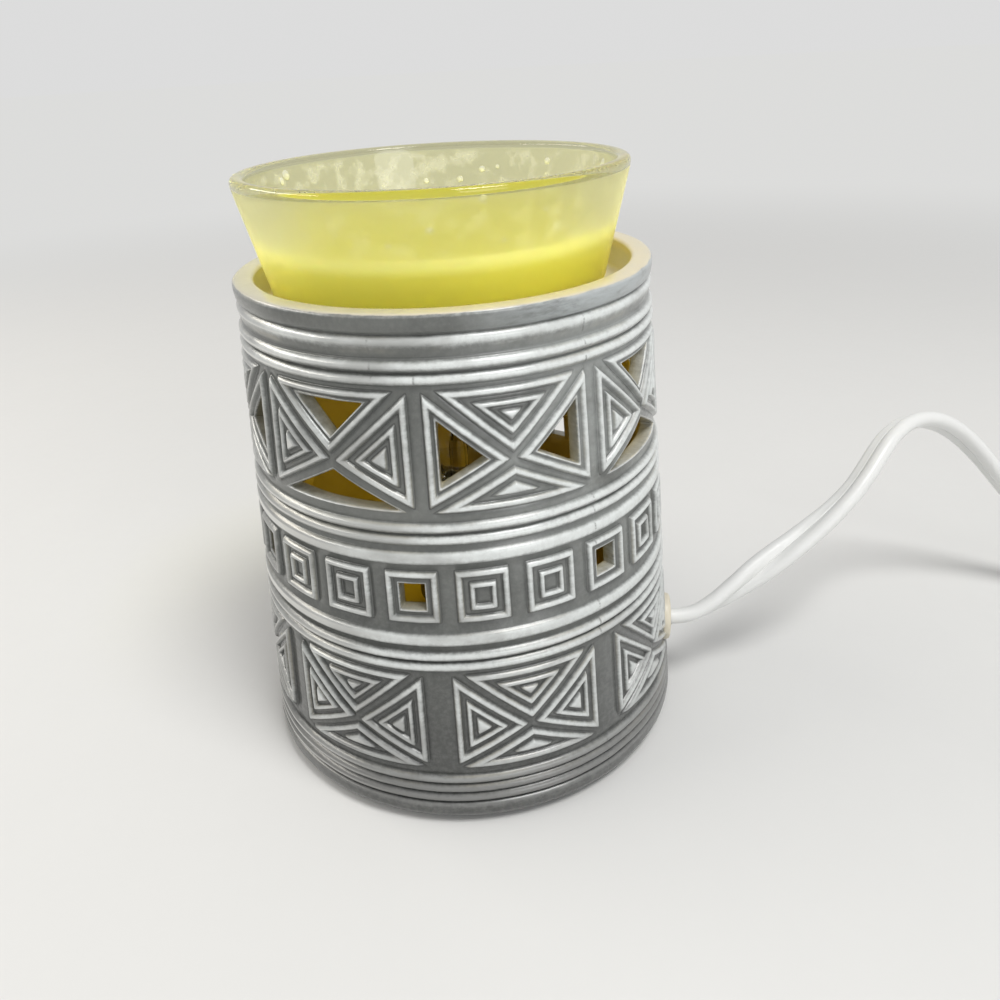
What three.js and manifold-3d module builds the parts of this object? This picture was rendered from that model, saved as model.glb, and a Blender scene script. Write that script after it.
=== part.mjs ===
// Electric wax warmer: a tapered ceramic body, pierced and carved in relief,
// with a glass wax dish on top, a small lamp inside and a flat two-core lead.
// Millimetres, +Z up. The origin is on the table under the middle of the body.
// The lead leaves towards +X, and angles round the body start at -Y and turn towards +X.
import * as THREE from "three";
import { mergeGeometries, mergeVertices } from "three/addons/utils/BufferGeometryUtils.js";
import Module from "manifold-3d";

const wasm = await Module();
wasm.setup();

// Clearances
const CONTACT_GAP = 0.3; // between pieces that rest on or against each other
const RUNNING_GAP = 0.5; // round pieces that turn or lift out
const EDGE_BREAK = 0.5; // small chamfer on turned and moulded edges
const MERGE_DISTANCE = 1e-4; // corners closer than this are one corner

// Ceramic body, radii measured over its raised bands
const FOOT_HEIGHT = 1.1;
const FOOT_RADIUS = 5;
const FOOT_INSET = 9; // from the edge of the base to the middle of a foot
const FOOT_COUNT = 4;
const BODY_BASE_RADIUS = 49.9;
const BODY_TOP_RADIUS = 41.7;
const BODY_SIDES = 40;
const HOLLOW_SIDES = 32;
const BASE_ROUND = 2.2;
const RELIEF = 0.9; // raised bands and ribs above the ground
const WALL = 2.8; // from the ground to the inside
const LIP_RADIUS = 42.1;
const LIP_WIDTH = 4.2;
const LIP_ROUND = 0.8;
const UNDERSIDE_RADIUS = 30;
const UNDERSIDE_DEPTH = 2.8;
const FLOOR_THICKNESS = 3.6;
const FLOOR_FILLET = 3;
const SHELF_DEPTH = 6.8; // from the lip down to the shelf that carries the dish
const SHELF_THICKNESS = 3;
const SHELF_HOLE_RADIUS = 25;
const SHELF_FILLET = 4;

// Bands round the body, in order from the base to the lip
const BASE_BAND = 4.9;
const RIDGE_PITCH = 2.4;
const BASE_RIDGES = 3;
const BAND_RIDGES = 2;
const PANEL_FOOT_MARGIN = 1.8;
const PANEL_HEIGHT = 22.2;
const PANEL_HEAD_MARGIN = 1.4;
const BAND_GAP = 1;
const FLAT_BAND = 3;
const FLAT_BAND_EDGE = 0.25;
const SQUARE_ZONE = 14.4;
const RIM_GAP = 1;
const RIM_RIDGE = 2.3;
const LIP_BAND = 3.6;
const RIDGE_SHOULDER = 0.28; // share of a ridge taken by each sloping side

// Panels of four triangles, and the row of squares between the two rows of panels
const PANEL_COUNT = 8;
const PANEL_WIDTH = 31.2;
const CROSSING_HEIGHT = 9; // where the four triangles point, above the panel's foot
const TOP_CORNER_INSET = 2.7;
const FOOT_CORNER_INSET = 1.2;
const SIDE_HEAD_DROP = 0.5;
const SIDE_FOOT_RISE = 1;
const TOP_POINT_GAP = 1.3;
const SIDE_POINT_GAP = 0.95;
const FOOT_POINT_GAP = 1.7;
const RING_WIDTH = 1.2;
const INNER_RING_INSET = 2.3;
const INNER_RING_WIDTH = 0.9;
const CORE_INSET = 4.2;
const FOOT_CORE_INSET = 2.4;
const WINDOW_INSET = 2.1;
const FOOT_WINDOW_INSET = 0.3;
const RIB_SLOPE = 0.3; // width of a rib's sloping side
const RIB_STEP = 8.5; // longest straight piece of a rib round the body
const SQUARE_COUNT = 21;
const SQUARE_EVERY = 3; // every third square is pierced
const SQUARE_TURN = -4.3; // degrees from the front to the first pierced square
const SQUARE_WIDTH = 10.1;
const SQUARE_HEIGHT = 10.7;
const SQUARE_RING_WIDTH = 1.3;
const SQUARE_INNER_WIDTH = 4.9;
const SQUARE_WINDOW_WIDTH = 5;
const SQUARE_WINDOW_HEIGHT = 5.8;

// Glass dish and the wax in it
const DISH_SIDES = 36;
const DISH_SET_OVER = -0.9; // the dish sits a little to one side in its mouth
const DISH_HEIGHT = 24.9;
const DISH_RIM_RADIUS = 38.7;
const DISH_FOOT_RADIUS = 33.2;
const DISH_CORNER = 4;
const DISH_WALL = 2.8;
const DISH_BEAD = 0.4; // the rim's bead stands this far out
const WAX_DEPTH = 10.4;
const WAX_EDGE = 0.8; // the wax climbs the glass by this much

// Lamp, its holder and the fixing through the floor
const ROUND_SIDES = 16;
const SCREW_RADIUS = 2.4;
const SCREW_HEAD_RADIUS = 4.6;
const SCREW_HEAD_HEIGHT = 1.6;
const SCREW_GRIP = 9; // length of the screw in the post
const WASHER_RADIUS = 7;
const WASHER_THICKNESS = 0.7;
const POST_HEIGHT = 18;
const POST_RADIUS = 6.5;
const POST_FLANGE_RADIUS = 12;
const POST_FLANGE_THICKNESS = 2.2;
const POST_FILLET = 1;
const HOLDER_RADIUS = 12;
const HOLDER_HEIGHT = 30;
const HOLDER_FLOOR = 5;
const HOLDER_CHAMFER = 1.2;
const LINER_WALL = 0.5;
const LINER_HEIGHT = 20;
const THREAD_DEPTH = 0.45;
const THREAD_PITCH = 2.54;
const THREAD_TURNS = 5;
const CAP_RADIUS = 5.9; // over the thread of the lamp's cap
const CAP_WALL = 0.5;
const CAP_SKIRT = 5;
const INSULATOR_HEIGHT = 2.6;
const BUTTON_RADIUS = 2.2;
const BUTTON_HEIGHT = 1.4;
const SPRING_CONTACT_HEIGHT = 2.4;
const SPRING_CONTACT_RADIUS = 3;
const GLASS_RADIUS = 12.5;
const GLASS_LENGTH = 34; // from the foot of the neck to the crown
const GLASS_NECK_DEPTH = 5; // of the neck inside the cap
const GLASS_NECK_RISE = 2.3; // straight neck above the cap
const GLASS_HIP = 1.5; // the flank hangs this far below a straight line
const GLASS_WALL = 0.8;
const STEM_RADIUS = 2.2;
const STEM_HEIGHT = 17;
const STEM_FLARE = 2;
const STEM_TIP = 4;
const FILAMENT_WIRE = 0.35;
const FILAMENT_SPAN = 9;
const FILAMENT_RISE = 9;
const FILAMENT_FEET = 1; // from the axis to each foot
const TERMINAL_RADIUS = 2.4;
const TERMINAL_LENGTH = 2;
const TERMINAL_SPREAD = 50; // degrees between each terminal and the lead's side
const TERMINAL_DROP = 20; // from the top of the holder
const CORE_RADIUS = 1.2;
const CORE_SLACK = 4; // the cores hang and run on by this much inside the wall

// Lead: its bushing, its section and its routes
const BUSHING_HEIGHT = 19.1;
const BUSHING_FLANGE_RADIUS = 5.8;
const BUSHING_FLANGE = 1.2;
const BUSHING_RADIUS = 4.8;
const BUSHING_COLLAR = 1.4;
const BUSHING_COLLAR_RADIUS = 5.6;
const BUSHING_COLLAR_PLAY = 1; // from the inside of the wall to the collar
const BOSS_RADIUS = 6.8;
const BOSS_RISE = 0.2;
const CORD_WIDTH = 7.3;
const CORD_THICKNESS = 3.7;
const COIL_TURNS = 5.5;
const COIL_RADIUS = 42; // middle of the outermost turn
const COIL_PITCH = 4.3;
const COIL_INNER_STEP = 4.4; // wider step where the turns change layer
const COIL_LAYER_GAP = 0.6;
const COIL_STEPS = 24; // for each turn
const TIE_THICKNESS = 0.8;
const TIE_WIDTH = 6;
const TIE_TURN = 20; // degrees round the coil
const LEAD_ROUTE = [
  [50.6, 0, 19.1],
  [55, 0.5, 19.4],
  [60.7, 2.4, 21.9],
  [66.7, 4.6, 25.6],
  [72.7, 7, 29.4],
  [78.8, 9.7, 33.1],
  [85, 12.8, 37],
  [91.1, 16.1, 41.3],
  [96.2, 19.9, 45.6],
  [100.4, 24.4, 50],
  [104.6, 29.4, 53.6],
  [110, 34.2, 55.6],
  [116.8, 38.4, 55],
  [124.2, 41.6, 51.4],
  [131.8, 43.8, 45.2],
  [139.2, 44.9, 37.2],
  [146.4, 44.9, 28.6],
  [153.6, 44, 20.6],
  [161, 42.6, 13.8],
  [168.8, 41.4, 10],
  [178, 41, 9.2],
];
const LEAD_TWIST = [-30, -28, -15, 5, 28, 48, 60, 66, 68, 66, 62, 58, 54, 50, 44, 36, 28, 20, 12, 4, 0];
const LEAD_STEPS = 32;
const FEED_STEPS = 8;
const TAIL_STEPS = 8;

// In-line switch and plug on the lead
const SWITCH_LENGTH = 52;
const SWITCH_WIDTH = 22;
const SWITCH_ROUND = 5;
const SWITCH_BEVEL = 1;
const SWITCH_FLOOR = 1.5; // under the wheel
const WHEEL_RADIUS = 7.2;
const WHEEL_PROUD = 1.5; // of the wheel above the switch
const WHEEL_WIDTH = 4;
const WHEEL_TEETH = 16;
const WHEEL_TOOTH = 0.5;
const AXLE_RADIUS = 1.2;
const AXLE_LENGTH = 10;
const PLUG_LENGTH = 34;
const PLUG_WIDTH = 24;
const PLUG_HEIGHT = 15;
const PLUG_TAIL_WIDTH = 12;
const PLUG_ROUND = 3;
const PLUG_GAP = 42; // from the middle of the coil back to the plug's tail
const BLADE_LENGTH = 17;
const BLADE_THICKNESS = 1.5;
const BLADE_SPACING = 12.7;
const NARROW_BLADE = 6.3;
const WIDE_BLADE = 7.9;
const BLADE_ROOT = 6; // depth of a blade in the plug

// Heights of the body's bands, from the base up
const bodyBottom = FOOT_HEIGHT + CONTACT_GAP;
const baseBandTop = bodyBottom + BASE_BAND;
const lowerPanelFoot = baseBandTop + BASE_RIDGES * RIDGE_PITCH + PANEL_FOOT_MARGIN;
const lowerRidges = lowerPanelFoot + PANEL_HEIGHT + PANEL_HEAD_MARGIN;
const lowerFlatBand = lowerRidges + BAND_RIDGES * RIDGE_PITCH + BAND_GAP;
const squareFoot = lowerFlatBand + FLAT_BAND;
const upperFlatBand = squareFoot + SQUARE_ZONE;
const middleRidges = upperFlatBand + FLAT_BAND + BAND_GAP;
const upperPanelFoot = middleRidges + BAND_RIDGES * RIDGE_PITCH + PANEL_FOOT_MARGIN;
const upperRidges = upperPanelFoot + PANEL_HEIGHT + PANEL_HEAD_MARGIN;
const rimRidge = upperRidges + BAND_RIDGES * RIDGE_PITCH + RIM_GAP;
const lipBand = rimRidge + RIM_RIDGE;
const bodyTop = lipBand + LIP_BAND;
const shelfTop = bodyTop - SHELF_DEPTH;
const undersideTop = bodyBottom + UNDERSIDE_DEPTH;
const floorTop = undersideTop + FLOOR_THICKNESS;
const mouthRadius = LIP_RADIUS - LIP_WIDTH;

const taper = (BODY_BASE_RADIUS - BODY_TOP_RADIUS) / (bodyTop - bodyBottom);
const raised = (z) => BODY_BASE_RADIUS - taper * (z - bodyBottom);
const ground = (z) => raised(z) - RELIEF;
const inside = (z) => ground(z) - WALL;

// Geometry helpers

// One closed mesh with shared corners and its faces pointing out.
function closed(geometry) {
  const bare = geometry.clone();
  for (const name of Object.keys(bare.attributes)) {
    if (name !== "position") {
      bare.deleteAttribute(name);
    }
  }
  const merged = mergeVertices(bare, MERGE_DISTANCE);
  const position = merged.getAttribute("position");
  const faces = [];
  let volume = 0;
  const [a, b, c] = [new THREE.Vector3(), new THREE.Vector3(), new THREE.Vector3()];
  for (let i = 0; i < merged.index.count; i += 3) {
    const face = [0, 1, 2].map((k) => merged.index.getX(i + k));
    if (new Set(face).size < 3) {
      continue;
    }
    faces.push(face);
    a.fromBufferAttribute(position, face[0]);
    b.fromBufferAttribute(position, face[1]);
    c.fromBufferAttribute(position, face[2]);
    volume += a.dot(b.cross(c));
  }
  merged.setIndex(faces.flatMap((f) => (volume < 0 ? [f[0], f[2], f[1]] : f)));
  merged.computeVertexNormals();
  return merged;
}

function toSolid(geometry) {
  const whole = closed(geometry);
  return new wasm.Manifold(
    new wasm.Mesh({
      numProp: 3,
      vertProperties: new Float32Array(whole.getAttribute("position").array),
      triVerts: new Uint32Array(whole.index.array),
    }),
  );
}

function fromSolid(solid) {
  const mesh = solid.getMesh();
  const geometry = new THREE.BufferGeometry();
  geometry.setAttribute("position", new THREE.BufferAttribute(mesh.vertProperties, 3));
  geometry.setIndex(new THREE.BufferAttribute(mesh.triVerts, 1));
  return geometry;
}

const cut = (geometry, ...tools) =>
  fromSolid(tools.reduce((solid, tool) => solid.subtract(toSolid(tool)), toSolid(geometry)));

// A profile of [radius, height] turned about the Z axis.
function lathe(profile, sides = ROUND_SIDES) {
  const points = profile.map(([r, z]) => new THREE.Vector2(Math.max(r, 0), z));
  const first = points[0];
  const last = points[points.length - 1];
  if (first.x > 0 || last.x > 0) {
    points.push(first.clone());
  }
  const geometry = new THREE.LatheGeometry(points, sides);
  geometry.rotateX(Math.PI / 2);
  return closed(geometry);
}

// Rows of points joined into a skin: into a ring, or capped at both ends.
function skin(rows, ring) {
  const count = rows[0].length;
  const vertices = rows.flat();
  const faces = [];
  const joins = ring ? rows.length : rows.length - 1;
  for (let i = 0; i < joins; i += 1) {
    const low = i * count;
    const high = ((i + 1) % rows.length) * count;
    for (let k = 0; k < count; k += 1) {
      const next = (k + 1) % count;
      faces.push([low + k, low + next, high + next], [low + k, high + next, high + k]);
    }
  }
  if (!ring) {
    for (const [start, turn] of [[0, true], [(rows.length - 1) * count, false]]) {
      const row = vertices.slice(start, start + count);
      const middle = row.reduce((sum, p) => sum.add(p), new THREE.Vector3()).divideScalar(count);
      const hub = vertices.push(middle) - 1;
      for (let k = 0; k < count; k += 1) {
        const [p, q] = [start + k, start + ((k + 1) % count)];
        faces.push(turn ? [hub, q, p] : [hub, p, q]);
      }
    }
  }
  const geometry = new THREE.BufferGeometry().setFromPoints(vertices);
  geometry.setIndex(faces.flat());
  return closed(geometry);
}

function extrude(shape, depth, bevel = 0) {
  return new THREE.ExtrudeGeometry(shape, {
    depth: depth - 2 * bevel,
    bevelEnabled: bevel > 0,
    bevelThickness: bevel,
    bevelSize: bevel,
    bevelOffset: -bevel,
    bevelSegments: 1,
    curveSegments: 3,
  }).translate(0, 0, bevel);
}

function roundedBox(length, width, radius) {
  const [x, y] = [length / 2, width / 2];
  const shape = new THREE.Shape();
  shape.moveTo(-x + radius, -y);
  shape.lineTo(x - radius, -y);
  shape.absarc(x - radius, -y + radius, radius, -Math.PI / 2, 0);
  shape.lineTo(x, y - radius);
  shape.absarc(x - radius, y - radius, radius, 0, Math.PI / 2);
  shape.lineTo(-x + radius, y);
  shape.absarc(-x + radius, y - radius, radius, Math.PI / 2, Math.PI);
  shape.lineTo(-x, -y + radius);
  shape.absarc(-x + radius, -y + radius, radius, Math.PI, 1.5 * Math.PI);
  return shape;
}

// Relief on the body. A drawing lies flat, with u round the body and v up it.

// A convex outline, drawn anticlockwise, moved in by a distance on every side.
function insetOutline(outline, distance) {
  const count = outline.length;
  const lines = outline.map((p, i) => {
    const q = outline[(i + 1) % count];
    const along = new THREE.Vector2(q[0] - p[0], q[1] - p[1]).normalize();
    const from = new THREE.Vector2(p[0] - along.y * distance, p[1] + along.x * distance);
    return { from, along };
  });
  return lines.map((line, i) => {
    const before = lines[(i + count - 1) % count];
    const turn = before.along.cross(line.along);
    const apart = line.from.clone().sub(before.from);
    const reach = apart.cross(line.along) / turn;
    return [before.from.x + before.along.x * reach, before.from.y + before.along.y * reach];
  });
}

// A point of a drawing bent round the body, at a height above the ground.
function wrap([u, v], place, height) {
  const z = place.foot + v;
  const turn = place.turn + u / raised(place.middle);
  const radius = ground(z) + height;
  return { p: new THREE.Vector3(radius * Math.sin(turn), -radius * Math.cos(turn), z), turn };
}

// An outline's sides as rows of points, in short steps where a side runs round the body.
function loop(outline, place, height, like = outline) {
  return outline.map((from, i) => {
    const to = outline[(i + 1) % outline.length];
    const run = Math.abs(like[(i + 1) % outline.length][0] - like[i][0]);
    const steps = Math.max(1, Math.round(run / RIB_STEP));
    return Array.from({ length: steps + 1 }, (_, k) => {
      const t = k / steps;
      const at = [from[0] + (to[0] - from[0]) * t, from[1] + (to[1] - from[1]) * t];
      return { ...wrap(at, place, height), t };
    });
  });
}

const faces = [];

// Triangles between two rows of points, the second on the left of the first.
function ladder(low, high) {
  let [i, j] = [0, 0];
  while (i < low.length - 1 || j < high.length - 1) {
    const stepLow = j === high.length - 1 || (i < low.length - 1 && low[i + 1].t <= high[j + 1].t);
    if (stepLow) {
      faces.push([low[i].p, low[i + 1].p, high[j].p]);
      i += 1;
    } else {
      faces.push([low[i].p, high[j + 1].p, high[j].p]);
      j += 1;
    }
  }
}

const reversed = (row) => row.map(({ p, turn, t }) => ({ p, turn, t: 1 - t })).reverse();
const byTurn = (row) => row.map(({ p, turn }) => ({ p, turn, t: turn }));
const rowOf = (sides) => sides.flatMap((side) => side.slice(0, -1));

// The first points of a row that runs all the way round, once more at its end.
function roundAgain(row) {
  return [...row, { ...row[0], t: row[0].t + 2 * Math.PI }];
}

function fill(sides) {
  const row = rowOf(sides).map(({ p }) => p);
  if (row.length === 3) {
    faces.push(row);
    return;
  }
  const middle = row.reduce((sum, p) => sum.add(p), new THREE.Vector3()).divideScalar(row.length);
  row.forEach((p, k) => faces.push([p, row[(k + 1) % row.length], middle]));
}

// Loops inside an outline, from the outside in: each has an inset and a height.
function carve(outline, place, steps) {
  let last = loop(outline, place, 0);
  const first = last;
  for (const [inset, height, own] of steps) {
    const inner = insetOutline(outline, inset);
    const next = loop(inner, place, height, own ? inner : outline);
    last.forEach((side, i) => ladder(side, next[i]));
    last = next;
  }
  fill(last);
  return first;
}

const outerRib = (width) => [
  [RIB_SLOPE, RELIEF, false],
  [width - RIB_SLOPE, RELIEF, false],
  [width, 0, false],
];
const innerRib = (inset) => [
  [inset, 0, true],
  [inset + INNER_RING_WIDTH / 2, RELIEF, true],
  [inset + INNER_RING_WIDTH, 0, true],
];
const core = (inset) => [
  [inset, 0, true],
  [inset + RIB_SLOPE, RELIEF, true],
];

const half = PANEL_WIDTH / 2;
const triangles = {
  top: [
    [-half + TOP_CORNER_INSET, PANEL_HEIGHT],
    [0, CROSSING_HEIGHT + TOP_POINT_GAP],
    [half - TOP_CORNER_INSET, PANEL_HEIGHT],
  ],
  left: [
    [-half, PANEL_HEIGHT - SIDE_HEAD_DROP],
    [-half, SIDE_FOOT_RISE],
    [-SIDE_POINT_GAP, CROSSING_HEIGHT],
  ],
  right: [
    [half, PANEL_HEIGHT - SIDE_HEAD_DROP],
    [SIDE_POINT_GAP, CROSSING_HEIGHT],
    [half, SIDE_FOOT_RISE],
  ],
  foot: [
    [-half + FOOT_CORNER_INSET, 0],
    [half - FOOT_CORNER_INSET, 0],
    [0, CROSSING_HEIGHT - FOOT_POINT_GAP],
  ],
};
const square = (width, height) => [
  [-width / 2, -height / 2],
  [width / 2, -height / 2],
  [width / 2, height / 2],
  [-width / 2, height / 2],
];

// A hole through the wall, of an outline moved in.
const windows = [];
function pierce(outline, place, inset) {
  const inner = insetOutline(outline, inset);
  const row = (height) => rowOf(loop(inner, place, height)).map(({ p }) => p);
  windows.push(skin([row(-2 * WALL), row(RELIEF + WALL)], false));
}

function carveTriangle(name, place, pierced) {
  const outline = triangles[name];
  if (pierced && name === "foot") {
    pierce(outline, place, FOOT_WINDOW_INSET);
    return carve(outline, place, []);
  }
  if (pierced) {
    pierce(outline, place, WINDOW_INSET);
    return carve(outline, place, outerRib(RING_WIDTH));
  }
  if (name === "foot") {
    return carve(outline, place, [...outerRib(RING_WIDTH), ...core(FOOT_CORE_INSET)]);
  }
  const nested = [...outerRib(RING_WIDTH), ...innerRib(INNER_RING_INSET), ...core(CORE_INSET)];
  return carve(outline, place, nested);
}

// One row of panels. The grooves between the triangles cross in the middle of each panel.
function panelZone(foot, pierced, below, above) {
  const lower = [];
  const upper = [];
  const panels = Array.from({ length: PANEL_COUNT }, (_, i) => {
    const turn = ((i + 0.5) * 2 * Math.PI) / PANEL_COUNT;
    const spot = { foot, turn, middle: foot + PANEL_HEIGHT / 2 };
    const sidesPierced = pierced && i % 2 === 0;
    const endsPierced = pierced && i % 2 === 1;
    const top = carveTriangle("top", spot, endsPierced);
    const left = carveTriangle("left", spot, sidesPierced);
    const right = carveTriangle("right", spot, sidesPierced);
    const bottom = carveTriangle("foot", spot, endsPierced);
    ladder(reversed(left[2]), top[0]);
    ladder(reversed(top[1]), right[0]);
    ladder(reversed(bottom[2]), left[1]);
    ladder(reversed(right[1]), bottom[1]);
    const [west, south, east, north] = [left[2][0].p, bottom[2][0].p, right[1][0].p, top[1][0].p];
    faces.push([west, south, east], [west, east, north]);
    lower.push(...byTurn([left[1][0], ...bottom[0], right[2][0]]));
    upper.push(...byTurn([left[0][0], ...reversed(top[2]), right[0][0]]));
    return { left, right };
  });
  panels.forEach(({ right }, i) => {
    const { left } = panels[(i + 1) % PANEL_COUNT];
    const strip = [right[2][0].p, left[1][0].p, left[0][0].p, right[0][0].p];
    faces.push([strip[0], strip[1], strip[2]], [strip[0], strip[2], strip[3]]);
  });
  ladder(below, roundAgain(lower));
  ladder(roundAgain(upper), above);
}

// The row of squares, every third one pierced.
function squareZone(middle, below, above) {
  const lower = [];
  const upper = [];
  const squares = Array.from({ length: SQUARE_COUNT }, (_, i) => {
    const turn = THREE.MathUtils.degToRad(SQUARE_TURN) + (i * 2 * Math.PI) / SQUARE_COUNT;
    const spot = { foot: middle, turn, middle };
    const outline = square(SQUARE_WIDTH, SQUARE_HEIGHT);
    const pierced = i % SQUARE_EVERY === 0;
    const inset = (SQUARE_WIDTH - SQUARE_INNER_WIDTH) / 2;
    const steps = [...outerRib(SQUARE_RING_WIDTH), ...(pierced ? [] : innerRib(inset))];
    if (pierced) {
      pierce(square(SQUARE_WINDOW_WIDTH, SQUARE_WINDOW_HEIGHT), spot, 0);
    }
    const sides = carve(outline, spot, steps);
    lower.push(...byTurn(sides[0]));
    upper.push(...byTurn(reversed(sides[2])));
    return sides;
  });
  squares.forEach((sides, i) => {
    const next = squares[(i + 1) % SQUARE_COUNT];
    const strip = [sides[1][0].p, next[0][0].p, next[3][0].p, sides[2][0].p];
    faces.push([strip[0], strip[1], strip[2]], [strip[0], strip[2], strip[3]]);
  });
  ladder(below, roundAgain(lower));
  ladder(roundAgain(upper), above);
}

// A ring of points round the body.
function ring(radius, z) {
  return Array.from({ length: BODY_SIDES + 1 }, (_, k) => {
    const turn = (2 * Math.PI * k) / BODY_SIDES;
    return { p: new THREE.Vector3(radius * Math.sin(turn), -radius * Math.cos(turn), z), turn, t: turn };
  });
}

// Outside of the body: base band, ridges, panels, flat bands, squares and lip.
function bodyOutside() {
  let last = ring(0, bodyBottom);
  const to = (radius, z) => {
    const next = ring(radius, z);
    ladder(last, next);
    last = next;
  };
  const low = (z) => to(ground(z), z);
  const crest = (z) => to(raised(z), z);
  const ridge = (z, width) => {
    crest(z + width * RIDGE_SHOULDER);
    crest(z + width * (1 - RIDGE_SHOULDER));
    low(z + width);
  };
  const ridges = (z, count) => {
    for (let k = 0; k < count; k += 1) {
      ridge(z + k * RIDGE_PITCH, RIDGE_PITCH);
    }
  };
  const flatBand = (z) => {
    crest(z + FLAT_BAND_EDGE);
    crest(z + FLAT_BAND - FLAT_BAND_EDGE);
    low(z + FLAT_BAND);
  };
  const panels = (foot, pierced, top) => {
    const next = ring(ground(top), top);
    panelZone(foot, pierced, last, next);
    last = next;
  };
  const roundMiddle = bodyBottom + BASE_ROUND;
  for (let k = 0; k <= 3; k += 1) {
    const turn = (-Math.PI / 2) * (1 - k / 3);
    const radius = raised(roundMiddle) - BASE_ROUND * (1 - Math.cos(turn));
    to(radius, roundMiddle + BASE_ROUND * Math.sin(turn));
  }
  crest(baseBandTop - RIDGE_PITCH * RIDGE_SHOULDER);
  low(baseBandTop);
  ridges(baseBandTop, BASE_RIDGES);
  panels(lowerPanelFoot, false, lowerRidges);
  ridges(lowerRidges, BAND_RIDGES);
  low(lowerFlatBand);
  flatBand(lowerFlatBand);
  const squaresTop = ring(ground(upperFlatBand), upperFlatBand);
  squareZone(squareFoot + SQUARE_ZONE / 2, last, squaresTop);
  last = squaresTop;
  flatBand(upperFlatBand);
  low(middleRidges);
  ridges(middleRidges, BAND_RIDGES);
  panels(upperPanelFoot, true, upperRidges);
  ridges(upperRidges, BAND_RIDGES);
  low(rimRidge);
  ridge(rimRidge, RIM_RIDGE);
  to(LIP_RADIUS, bodyTop - LIP_ROUND);
  to(LIP_RADIUS - 0.3 * LIP_ROUND, bodyTop - 0.3 * LIP_ROUND);
  to(LIP_RADIUS - LIP_ROUND, bodyTop);
  to(0, bodyTop);
  const geometry = new THREE.BufferGeometry().setFromPoints(faces.flat());
  geometry.setIndex(faces.flat().map((_, k) => k));
  return closed(geometry);
}

// The hollow: the lamp's space, the shelf with its hole, and the mouth for the dish.
function bodyHollow() {
  const shelfFoot = shelfTop - SHELF_THICKNESS;
  const above = bodyTop + WALL;
  return lathe(
    [
      [0, floorTop],
      [inside(floorTop) - FLOOR_FILLET, floorTop],
      [inside(floorTop + FLOOR_FILLET), floorTop + FLOOR_FILLET],
      [inside(shelfFoot - SHELF_FILLET), shelfFoot - SHELF_FILLET],
      [inside(shelfFoot) - SHELF_FILLET, shelfFoot],
      [SHELF_HOLE_RADIUS, shelfFoot],
      [SHELF_HOLE_RADIUS, shelfTop],
      [mouthRadius, shelfTop],
      [mouthRadius, bodyTop - LIP_ROUND],
      [mouthRadius + 0.3 * LIP_ROUND, bodyTop - 0.3 * LIP_ROUND],
      [mouthRadius + LIP_ROUND, bodyTop],
      [mouthRadius + LIP_ROUND, above],
      [0, above],
    ],
    HOLLOW_SIDES,
  );
}

const bodyUnderside = lathe(
  [
    [0, 0],
    [UNDERSIDE_RADIUS + UNDERSIDE_DEPTH / 2, 0],
    [UNDERSIDE_RADIUS, undersideTop],
    [0, undersideTop],
  ],
  HOLLOW_SIDES,
);
const screwHole = lathe([
  [0, undersideTop - WALL],
  [SCREW_RADIUS + RUNNING_GAP, undersideTop - WALL],
  [SCREW_RADIUS + RUNNING_GAP, floorTop + WALL],
  [0, floorTop + WALL],
]);

// The lead's way out: a flat boss on the wall with a round hole.
const bossFace = raised(BUSHING_HEIGHT) + BOSS_RISE;
const alongX = (geometry) => geometry.rotateY(Math.PI / 2).translate(0, 0, BUSHING_HEIGHT);
const boss = alongX(
  lathe([
    [0, inside(BUSHING_HEIGHT) + WALL / 2],
    [BOSS_RADIUS, inside(BUSHING_HEIGHT) + WALL / 2],
    [BOSS_RADIUS, bossFace],
    [0, bossFace],
  ]),
);
const bossHole = alongX(
  lathe([
    [0, inside(BUSHING_HEIGHT) - WALL],
    [BUSHING_RADIUS + CONTACT_GAP, inside(BUSHING_HEIGHT) - WALL],
    [BUSHING_RADIUS + CONTACT_GAP, bossFace + WALL],
    [0, bossFace + WALL],
  ]),
);
const bodyShell = fromSolid(
  toSolid(bodyOutside())
    .add(toSolid(boss))
    .subtract(toSolid(bodyHollow()))
    .subtract(toSolid(bodyUnderside))
    .subtract(toSolid(screwHole))
    .subtract(toSolid(bossHole))
    .subtract(toSolid(mergeGeometries(windows))),
);

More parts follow.
